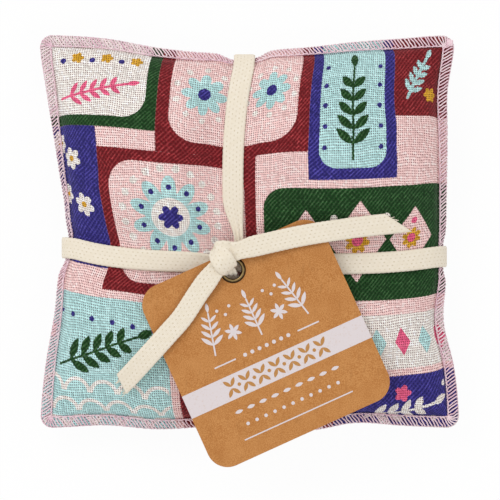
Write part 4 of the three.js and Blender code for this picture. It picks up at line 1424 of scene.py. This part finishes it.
@dataclass
class ParcelBands:
    """The two bands of tape round the pouch: taut loops over its section, crossing flat at the back."""

    form: PouchForm
    tape: CottonTape
    finish: bpy.types.Material
    rest: float = 0.45  # mm from the cloth to the tape's middle
    step: float = 0.5
    section_steps: int = 240
    lanes: int = 5  # along the cloth under the tape
    pinch: tuple = (7.0, 1.8, 0.18)  # of the band across at the knot: reach, narrowing and crumple
    gathered: float = 2.7  # the band down's width at the knot
    gathered_crumple: float = 0.34
    gather_length: float = 15.0
    gather_aside: float = 1.4  # mm
    gather_rise: float = 2.0
    down_start: float = 1.2  # y in mm, at the knot
    down_end: float = -7.6  # y in mm, below the eyelet
    knot_x: float = -8.0

    def section(self, along_x: bool) -> np.ndarray:
        """Points of the pouch that a band could touch.

        Args:
            along_x: Whether the band runs across.

        Returns:
            Rows of place along, height and place aside.
        """
        form = self.form
        middle = form.across_route[0] / form.half_depth if along_x else form.down_route[0] / form.half_width
        half = (form.tape_half + 0.1) / (form.half_depth if along_x else form.half_width)
        place = crowded_ends(self.section_steps + 1)
        run, aside = (0, 1) if along_x else (1, 0)
        rows = []
        for side in (1, -1):
            lanes = []
            for lane in np.linspace(-0.85, 0.85, self.lanes) * half + middle:
                u, v = (place, np.full_like(place, lane)) if along_x else (np.full_like(place, lane), place)
                lanes.append(form.surface(side, u, v))
            lanes = np.array(lanes)
            height = side * np.max(side * lanes[..., 2], axis=0)
            central = lanes[self.lanes // 2]
            rows.append(np.stack([central[:, run], height, central[:, aside]], axis=1))
        lane = np.linspace(-1.0, 1.0, self.lanes) * half + middle
        for end in (-1, 1):
            ends, none = np.full_like(lane, end), np.zeros_like(lane)
            at = (ends, lane, ends, none) if along_x else (lane, ends, none, ends)
            seam, way_x, way_y, up = form.seam_frame(*at)
            for reach in (0.0, form.overlock):
                for off in (form.thread_top, -form.thread_top):
                    points = seam + (way_x + way_y) * reach + up * off
                    level = np.full_like(lane, rows[0][0 if end < 0 else -1, 2])
                    rows.append(np.stack([points[:, run], points[:, 2], level], axis=1))
        return np.vstack(rows)

    def taut(self, points: np.ndarray, distance: float) -> np.ndarray:
        """The tight loop round points, a distance off them, clockwise from the low end over the top.

        Args:
            points: Rows of place along, height and place aside.
            distance: How far off the loop lies, in mm.

        Returns:
            The loop's rows.
        """
        order = points[np.lexsort((points[:, 1], points[:, 0]))]

        def half(rows: np.ndarray) -> list:
            """Half the loop, from one end to the other."""
            kept: list = []
            for p in rows:
                while len(kept) > 1:
                    a, b = kept[-2], kept[-1]
                    if (b[0] - a[0]) * (p[1] - a[1]) - (b[1] - a[1]) * (p[0] - a[0]) < 0.0:
                        break
                    kept.pop()
                kept.append(p)
            return kept[:-1]

        loop = np.array(half(order) + half(order[::-1]))
        ahead = np.roll(loop, -1, axis=0) - loop
        outward = unit(np.stack([-ahead[:, 1], ahead[:, 0]], axis=1))
        before = np.roll(outward, 1, axis=0)
        stretch = distance / (1.0 + np.sum(outward * before, axis=1, keepdims=True))
        loop[:, :2] += (outward + before) * stretch
        return loop

    def path(self, loop: np.ndarray, along_x: bool) -> np.ndarray:
        """Turns a loop into the tape's path, rounded at its bends.

        Args:
            loop: Rows of place along, height and place aside.
            along_x: Whether the band runs across.

        Returns:
            The closed path's rows, without width and crumple.
        """
        along, height, aside = loop.T
        line = np.stack([along, aside, height] if along_x else [aside, along, height], axis=1)
        line = resample(line, self.step, True, 5)
        side = (0.0, 1.0, 0.0) if along_x else (-1.0, 0.0, 0.0)
        return np.hstack([line, np.tile(side, (len(line), 1))])

    def build(self) -> None:
        """Builds the band across, and the band down from the knot round to the eyelet."""
        form, tape = self.form, self.tape
        reach, narrowing, crumple = self.pinch
        across = self.path(self.taut(self.section(True), self.rest), True)
        near_knot = np.exp(-(((across[:, 0] - self.knot_x) / reach) ** 2)) * (across[:, 2] > form.seam_height)
        shape = np.stack([tape.width - narrowing * near_knot, crumple * near_knot], axis=1)
        band = make_piece("band_across", *tape.ribbon(np.hstack([across, shape]), True))
        dress(band, "sachet", "cotton_tape", self.finish, "tape_across")

        # At the back the band down lies over the band across, on its outer side
        cross_x = form.down_route[0]
        cross_y = form.across_y(cross_x / form.half_width) + form.shift[1]
        cross_z = across[np.abs(across[:, 0] - cross_x) < tape.width, 2].min() - tape.thickness / 2.0
        under = [[cross_y + side * tape.width / 2.0, cross_z, cross_x] for side in (-1, 1)]
        down = self.path(self.taut(np.vstack([self.section(False), under]), self.rest), False)
        on_top = down[:, 2] > form.seam_height + 2.0
        gap = on_top & (down[:, 1] < self.down_start) & (down[:, 1] > self.down_end)
        first = (np.flatnonzero(gap & ~np.roll(gap, -1))[0] + 1) % len(down)
        down = np.roll(down, -first, axis=0)[:len(down) - int(gap.sum())]
        near = np.arange(len(down)) * self.step / self.gather_length
        gather = 1.0 - smoothstep(0.1, 1.0, near)
        down[:, 0] += self.gather_aside * gather
        down[:, 2] += self.gather_rise * gather ** 4
        shape = np.stack([mix(tape.width, self.gathered, gather), self.gathered_crumple * gather], axis=1)
        band = make_piece("band_down", *tape.ribbon(np.hstack([down, shape])))
        dress(band, "sachet", "cotton_tape", self.finish, "tape_down")


# ---- the tag's frame and the tie


@dataclass(frozen=True)
class TagPlace:
    """Where the tag lies: its own frame has the eyelet's axis at the middle of the card's underside."""

    eyelet: tuple = (-5.17566, -5.89547, 29.74872)
    turn: float = 0.426
    tilt: float = 0.02

    def axes(self) -> np.ndarray:
        """The tag's own ways.

        Returns:
            Rows: its way across, its way back and its way up.
        """
        turn, tilt = self.turn, self.tilt
        return np.array([
            (math.cos(turn), math.sin(turn), 0.0),
            (-math.sin(turn) * math.cos(tilt), math.cos(turn) * math.cos(tilt), math.sin(tilt)),
            (math.sin(turn) * math.sin(tilt), -math.cos(turn) * math.sin(tilt), math.cos(tilt)),
        ])

    def to_part(self, points: np.ndarray) -> np.ndarray:
        """Places given in the tag's frame, in the part's frame."""
        return np.asarray(points) @ self.axes() + self.eyelet


@dataclass
class Tie:
    """The knot that joins the bands and holds the tag, with its two tails and the strand in the eyelet."""

    place: TagPlace
    tape: CottonTape
    finish: bpy.types.Material
    lying: float = 1.25  # mm from the card's underside to the middle of tape that lies on it
    # Across, back and lift in the tag's frame
    right_route: tuple = ((4.5, 4.6, 1.6), (8.5, 4.0, 1.5), (13.9, 2.9, 1.0), (21.0, 1.4, 0.6), (27.0, -0.1, 0.5),
                          (31.0, -1.2, 0.3), (35.0, -2.4, -0.6), (38.5, -3.4, -1.6), (42.5, -4.7, -2.7),
                          (47.0, -6.2, -3.8), (51.8, -7.8, -5.1))
    left_route: tuple = ((-4.5, 2.3, 1.5), (-8.4, 0.3, 1.2), (-12.7, -2.2, 0.8), (-19.8, -6.7, 0.6),
                         (-25.7, -9.4, 0.6), (-30.0, -11.3, 0.6), (-33.2, -12.7, 0.2), (-36.2, -14.0, -0.8),
                         (-39.2, -15.3, -2.3), (-42.2, -16.6, -4.2), (-45.1, -17.8, -6.3))
    right_skew: float = -8.0
    left_skew: float = 2.9
    skew_reach: float = 7.0
    # In the part's frame: where each tail comes out of the knot, and its width there
    right_root: tuple = ((-7.52, -0.83, 32.0, 4.2), (-5.32, -0.33, 32.4, 6.0))
    left_root: tuple = ((-6.52, -2.43, 32.7, 3.4), (-8.32, -4.03, 32.7, 5.0))
    first_seed: int = 40  # of the frayed yarns
    right_length: float = 0.055  # metres, from the knot to the cut end
    left_length: float = 0.049
    # Rows of place, way across, width and crumple
    wrap: tuple = ((-9.4, 1.2, 31.1, 0.78, 0.62, 0.0, 3.6, 0.0), (-9.82, 0.27, 32.0, 0.78, 0.62, 0.0, 5.4, 0.1),
                   (-9.42, -1.13, 33.4, 0.78, 0.62, 0.0, 6.2, 0.12),
                   (-8.22, -2.93, 34.2, 0.78, 0.62, 0.0, 6.8, 0.12),
                   (-6.92, -4.73, 33.6, 0.78, 0.62, 0.0, 6.6, 0.1), (-6.02, -5.83, 32.4, 0.78, 0.62, 0.0, 5.4, 0.1),
                   (-6.22, -5.63, 31.6, 0.78, 0.62, 0.0, 4.2, 0.1))
    shoulder: tuple = ((-10.75, 0.7, 31.1, -0.2, 0.95, 0.1, 2.6, 0.0),
                       (-10.42, 0.17, 31.8, -0.2, 0.95, 0.1, 4.0, 0.12),
                       (-9.42, 0.47, 32.6, -0.1, 0.98, 0.0, 4.8, 0.16),
                       (-8.02, 0.67, 33.1, 0.0, 1.0, -0.1, 4.8, 0.16),
                       (-6.52, 0.57, 32.9, 0.1, 0.98, -0.1, 4.6, 0.14),
                       (-5.52, 0.27, 32.1, 0.15, 0.97, -0.1, 4.0, 0.1),
                       (-5.42, 0.07, 31.4, 0.15, 0.97, -0.1, 3.4, 0.0))
    strand: tuple = ((-7.12, -4.83, 31.6, 0.72, 0.66, 0.0, 3.2, 0.2), (-6.4, -5.9, 31.0, 0.8, 0.55, 0.0, 3.6, 0.2),
                     (-5.8, -6.8, 30.2, 0.9, 0.3, 0.0, 3.7, 0.2), (-5.55, -7.2, 29.0, 0.95, 0.0, 0.0, 3.6, 0.2),
                     (-5.5, -7.25, 27.6, 0.97, -0.1, 0.0, 3.2, 0.2))
    lump_middle: tuple = (-8.12, -1.13, 32.0)
    lump_reach: tuple = (3.0, 4.2, 1.5)
    lump_rings: int = 13
    lump_sides: int = 20
    # Rows of place and radius, from the cloth up to the knot
    neck: tuple = ((-9.15, 1.75, 27.05, 1.3), (-9.15, 1.75, 28.7, 1.25), (-9.05, 1.6, 30.4, 1.25),
                   (-8.4, 0.3, 32.3, 1.3))
    neck_sides: int = 14
    tail_step: float = 0.5
    turn_step: float = 0.4
    root_narrow: float = 0.9  # mm that a tail is narrower where it leaves the knot
    root_crumple: tuple = (0.16, 5.0)  # height and reach of its crumples there

    def tail_rows(self, root: tuple, route: tuple, skew: float) -> np.ndarray:
        """A tail's path, from inside the knot to its cut end.

        Args:
            root: Places in the part's frame and the tape's width there.
            route: Places across, back and lift in the tag's frame.
            skew: How much further the cut reaches along one edge, in mm.

        Returns:
            The path's rows, ready for the tape.
        """
        lying = np.array(route, float)
        lying[:, 2] += self.lying
        middles = self.place.to_part(lying)
        lying = [[*middle, self.tape.width - self.root_narrow * (k == 0)] for k, middle in enumerate(middles)]
        path = curve_through([*root, *lying], self.tail_step)
        gone = np.arange(len(path)) * self.tail_step
        across = np.cross(self.place.axes()[2], ways_along(path[:, :3]))
        height, fade = self.root_crumple
        crumple = height * np.exp(-((gone / fade) ** 2))
        ending = skew * (1.0 - smoothstep(0.0, self.skew_reach, gone[::-1]))
        return np.hstack([path[:, :3], across, path[:, 3:4], crumple[:, None], ending[:, None]])

    def build_tails(self) -> None:
        """Builds the two tails, with the yarns that fray from their ends."""
        plan = (("tail_right", "tape_tail_right", self.right_root, self.right_route, self.right_skew,
                 self.right_length, 5, 1.3),
                ("tail_left", "tape_tail_left", self.left_root, self.left_route, self.left_skew,
                 self.left_length, 9, 2.9))
        for seed, (name, node, root, route, skew, length, yarns, reach) in enumerate(plan, self.first_seed):
            rows = self.tail_rows(root, route, skew)
            tail = self.piece(name, self.tape.ribbon(rows), node)
            fray = self.piece(name + "_fray", self.tape.fray(rows, yarns, reach, seed))

    def build_knot(self) -> None:
        """Builds the knot from its visible turns of tape round a packed middle, and the strand below it."""
        turns = [self.tape.ribbon(curve_through(turn, self.turn_step)) for turn in (self.wrap, self.shoulder)]
        angle = round_angles(self.lump_sides)
        rings = []
        for height in crowded_ends(self.lump_rings):
            girth = math.sqrt(max(1e-4, 1.0 - height * height))
            ring = [girth * np.cos(angle), girth * np.sin(angle), np.full(self.lump_sides, height)]
            rings.append(self.lump_middle + self.lump_reach * np.stack(ring, axis=1))
        lump = np.vstack(rings)
        faces = [face[::-1] for face in ring_faces(self.lump_rings, self.lump_sides, False)]
        line = curve_through(self.neck, self.tail_step)
        neck, neck_faces, neck_cloth = thread_tube(line[:, :3], 1.0, False, self.neck_sides)
        middles, girths = np.split(np.repeat(line, self.neck_sides, axis=0), [3], axis=1)
        neck = middles + (neck - middles) * girths
        packed = [(lump, faces, lump[:, :2]), (neck, neck_faces, neck_cloth)]
        self.piece("knot", join_parts(turns + packed), "tape_knot")
        self.piece("eyelet_strand", self.tape.ribbon(curve_through(self.strand, self.turn_step)), "tape_strand")

    def piece(self, name: str, body: tuple, node: str = "") -> bpy.types.Object:
        """Makes a piece of tape from its body, in the place of its CAD node."""
        return dress(make_piece(name, *body), "tie", "cotton_tape", self.finish, node)


# ---- the swing tag


@dataclass
class SwingTag:
    """The kraft card with its brass eyelet and its printed ornament. Places are in the tag's frame, in mm."""

    place: TagPlace
    half: float = 30.0
    top: float = 0.6  # the card's thickness
    ink: float = 0.03  # an ink's thickness
    ink_gap: float = 0.012
    band_back: tuple = (-36.1, -28.7)
    rule_back: float = -25.0
    rule_span: tuple = (10.3, 17.4)
    # Rows of radius and height, round its section
    eyelet_profile: tuple = ((2.72, -0.42), (2.7, 0.3), (2.72, 0.72), (2.82, 0.96), (3.0, 1.12), (3.24, 1.19),
                             (3.5, 1.15), (3.74, 1.0), (3.92, 0.82), (4.0, 0.66), (3.9, 0.61), (3.2, 0.6),
                             (3.1, 0.4), (3.12, 0.02), (3.3, -0.01), (3.96, -0.02), (4.0, -0.16), (3.86, -0.42),
                             (3.5, -0.58), (3.12, -0.58), (2.86, -0.52))
    steps: int = 72
    spot_sides: int = 14
    leaf_pairs: int = 4
    film_step: float = 0.0015  # mm that films differ in level, so that none share a plane where they cross

    def prism(self, outline: np.ndarray, level: float) -> tuple:
        """A thin closed body over an outline, for a printed shape.

        Args:
            outline: Rows of across and back, anticlockwise.
            level: Height of its underside.

        Returns:
            Points, faces and cloth places.
        """
        low = np.hstack([outline, np.full((len(outline), 1), level)])
        high = low + (0.0, 0.0, self.ink)
        points = self.place.to_part(np.vstack([low, high]))
        return points, ring_faces(2, len(outline), False), np.vstack([outline, outline])

    def laid(self, x: float, y: float, degrees: float, along: np.ndarray, aside: np.ndarray) -> np.ndarray:
        """Outline given by how far along a way from a point, and beside it, its corners lie."""
        return np.stack(along_way(along, aside, -degrees), axis=1) + (x, y)

    def bar(self, x: float, y: float, degrees: float, length: float, width: float) -> np.ndarray:
        """Outline of a straight rule that starts at a point."""
        along, aside = np.array([(0.0, -0.5), (1.0, -0.5), (1.0, 0.5), (0.0, 0.5)]).T
        return self.laid(x, y, degrees, along * length, aside * width)

    def petal(self, x: float, y: float, degrees: float, length: float, width: float) -> np.ndarray:
        """Outline of a pointed leaf that starts at a point.

        Args:
            x: The point, across.
            y: The point, back.
            degrees: The leaf's way.
            length: Its length.
            width: Its greatest width.

        Returns:
            The outline's rows.
        """
        share = np.linspace(0.0, 1.0, 9)
        swell = width / 2.0 * np.sin(math.pi * share) ** 0.8
        return self.laid(x, y, degrees, np.concatenate([share, share[-2:0:-1]]) * length,
                         np.concatenate([-swell, swell[-2:0:-1]]))

    def spot(self, x: float, y: float, radius: float) -> np.ndarray:
        """Outline of a dot."""
        angle = round_angles(self.spot_sides)
        return np.stack([x + radius * np.cos(angle), y + radius * np.sin(angle)], axis=1)

    def spray(self, x: float, y: float, degrees: float, length: float, size: float) -> list:
        """Outlines of a stem with pairs of narrow leaves.

        Args:
            x: Foot of the stem, across.
            y: Foot of the stem, back.
            degrees: Its way.
            length: Its length.
            size: Length of a leaf.

        Returns:
            The outlines.
        """
        turn, outlines = math.radians(degrees), [self.bar(x, y, degrees, length, 0.5)]
        for k in range(self.leaf_pairs):
            at, leaf = away(x, y, turn, length * (0.24 + 0.72 * k / self.leaf_pairs)), size * (1.0 - 0.1 * k)
            outlines += [self.petal(*at, degrees + side * 50.0, leaf, leaf * 0.29) for side in (-1, 1)]
        return [*outlines, self.petal(*away(x, y, turn, length), degrees, size * 0.7, size * 0.26)]

    def pale_outlines(self) -> list:
        """Outlines of everything printed in the pale ink.

        Returns:
            The outlines.
        """
        low, high = self.band_back
        outlines = [np.array([(-self.half, low), (self.half, low), (self.half, high), (-self.half, high)])]
        near, far = self.rule_span
        outlines += [self.bar(start, self.rule_back, 0.0, far - near, 0.45) for start in (-far, near)]
        for x, degrees in ((-15.5, 76.0), (0.0, 90.0), (15.5, 104.0)):
            outlines += self.spray(x, -21.6, degrees, 13.2 if x else 12.0, 4.4)
        for x in (-7.6, 7.6):
            outlines += [self.petal(x, -17.2, 60.0 * k + 30.0, 2.7, 1.1) for k in range(6)]
            outlines += [self.spot(x + 1.0 * side, -11.4 + abs(side), 0.5) for side in (-2, 0, 2)]
        outlines += [self.spot(x, self.rule_back, 0.62) for x in (-7.2, -4.8, -2.4, 0.0, 2.4, 4.8, 7.2)]
        outlines += [self.petal(x, -40.0, 0.0, 2.6, 1.1) for x in np.arange(-17.3, 16.0, 4.0)]
        outlines.append(self.bar(-18.0, -48.6, 0.0, 36.0, 0.4))
        outlines += [self.spot(x, -44.4, 0.55) for x in np.arange(-15.0, 15.1, 3.0)]
        return outlines

    def kraft_outlines(self) -> list:
        """Outlines left bare in the pale band: a running row of leaves and dots.

        Returns:
            The outlines.
        """
        middle = sum(self.band_back) / 2.0
        outlines = []
        for x in np.arange(-15.0, 15.1, 5.0):
            for turn in (52.0, 128.0):
                outlines += [self.petal(x, middle + side * 0.3, side * turn, 3.0, 1.15) for side in (-1, 1)]
            if x < 14.0:
                outlines.append(self.spot(x + 2.5, middle, 0.55))
        return outlines

    def print_piece(self, name: str, outlines: list, level: float, finish: bpy.types.Material) -> None:
        """Builds one ink's shapes as thin films on the card.

        Args:
            name: The piece's name.
            outlines: The shapes.
            level: Height of their undersides.
            finish: The ink.
        """
        films = [self.prism(outline, level + self.film_step * (k % 4)) for k, outline in enumerate(outlines)]
        piece = make_piece(name, *join_parts(films))
        piece.data.shade_flat()
        dress(piece, "tag", "kraft_card", finish)

    def build_eyelet(self) -> None:
        """Builds the eyelet: a barrel rolled over on both faces of the card."""
        angle = round_angles(self.steps)
        radius, height = np.array(self.eyelet_profile).T
        rings = np.stack([np.outer(np.cos(angle), radius), np.outer(np.sin(angle), radius),
                          np.tile(height, (self.steps, 1))], axis=-1).reshape(-1, 3)
        piece = make_piece("brass_eyelet", self.place.to_part(rings), ring_faces(self.steps, len(radius), True))
        crest = np.exp(-(((radius - 3.2) / 0.3) ** 2)) * (np.abs(height - self.top / 2.0) > 0.55)
        add_field(piece, "crest", np.tile(crest, self.steps))
        dress(piece, "tag", "antique_brass", AntiqueBrass().material(), "tag_eyelet")

    def build(self) -> None:
        """Dresses the card and builds what is on it."""
        card = bpy.data.objects["tag_card"]
        card.data.materials.clear()
        card.data.materials.append(KraftBoard().material())
        level = self.top + self.ink_gap
        pale = PrintingInk("pale screened ink", "#dcd2d3", "#ccb09a")
        brown = PrintingInk("kraft-brown screened ink", "#b98449", "#c99a68")
        self.print_piece("tag_pale_print", self.pale_outlines(), level, pale.material())
        self.print_piece("tag_brown_print", self.kraft_outlines(), level + self.ink + 0.01, brown.material())
        self.build_eyelet()


# ---- the studio


@dataclass
class Studio:
    """A white floor under soft light, seen from straight above."""

    distance: float = 2.5  # metres from the floor to the camera
    view_width: float = 0.1525  # metres that the picture spans at view_level
    view_level: float = 0.02
    view_middle: tuple = (0.00008, 0.00017)
    sensor: float = 36.0
    sky: float = 0.75
    floor_half: float = 3.0
    glow_share: float = 0.95  # of the floor's looks, the rest being lit paper
    # Place in metres, size in metres and power in watts
    lamps: tuple = (((-1.1, 1.2, 1.9), 1.3, 18.8), ((1.3, -0.9, 2.0), 1.5, 5.75))

    def build_camera(self) -> None:
        """Places the camera that looks straight down."""
        camera = bpy.data.cameras.new("photograph")
        camera.sensor_width = self.sensor
        camera.lens = self.sensor * (self.distance - self.view_level) / self.view_width
        camera.clip_end = 20.0
        seat = bpy.data.objects.new("photograph", camera)
        seat.location = (*self.view_middle, self.distance)
        bpy.context.scene.collection.objects.link(seat)
        bpy.context.scene.camera = seat

    def build_light(self) -> None:
        """Places the soft lamps, and sets the world's even light."""
        for k, (place, size, power) in enumerate(self.lamps):
            lamp = bpy.data.lights.new(f"softbox_{k}", "AREA")
            lamp.size, lamp.energy = size, power
            seat = bpy.data.objects.new(f"softbox_{k}", lamp)
            seat.location = place
            seat.rotation_euler = mathutils.Vector(place).to_track_quat("Z", "Y").to_euler()
            bpy.context.scene.collection.objects.link(seat)
        world = bpy.data.worlds.new("studio")
        world.use_nodes = True
        world.node_tree.nodes.clear()
        add = partial(add_node, world.node_tree)
        strength = add("Mix", looked_at(add), inputs={2: self.sky, 3: 1.0})
        add("OutputWorld", add("Background", linear("#ffffff"), strength))
        bpy.context.scene.world = world

    def build_floor(self) -> None:
        """Lays the white floor. What the camera sees of it is close to white, and keeps the object's shadow."""
        corners = np.array([(-1, -1, 0), (1, -1, 0), (1, 1, 0), (-1, 1, 0)]) * self.floor_half
        floor = make_piece("floor", corners / MM, [[0, 1, 2, 3]])
        material, add = start_material("white studio paper")
        paper = add("BsdfDiffuse", linear("#f7f6f4"))
        glow = add("Emission", linear("#ffffff"), 1.0)
        add("OutputMaterial", add("MixShader", add("Math:MULTIPLY", looked_at(add), self.glow_share), paper, glow))
        floor.data.materials.append(material)


def main() -> None:
    """Builds the scene: camera and tails first, then the pouch, its seam, the bands, the knot and the tag."""
    logging.basicConfig(level=logging.INFO, format="%(name)s: %(message)s")
    bpy.context.scene.view_settings.view_transform = "Standard"
    studio, form, place, tape = Studio(), PouchForm(), TagPlace(), CottonTape()
    studio.build_camera()
    cotton = HerringboneCotton().material()
    tie = Tie(place, tape, cotton)
    tie.build_tails()
    LinenPouch(form).build()
    OverlockSeam(form).build()
    ParcelBands(form, tape, cotton).build()
    tie.build_knot()
    SwingTag(place).build()
    studio.build_light()
    studio.build_floor()


if __name__ == "__main__":
    main()
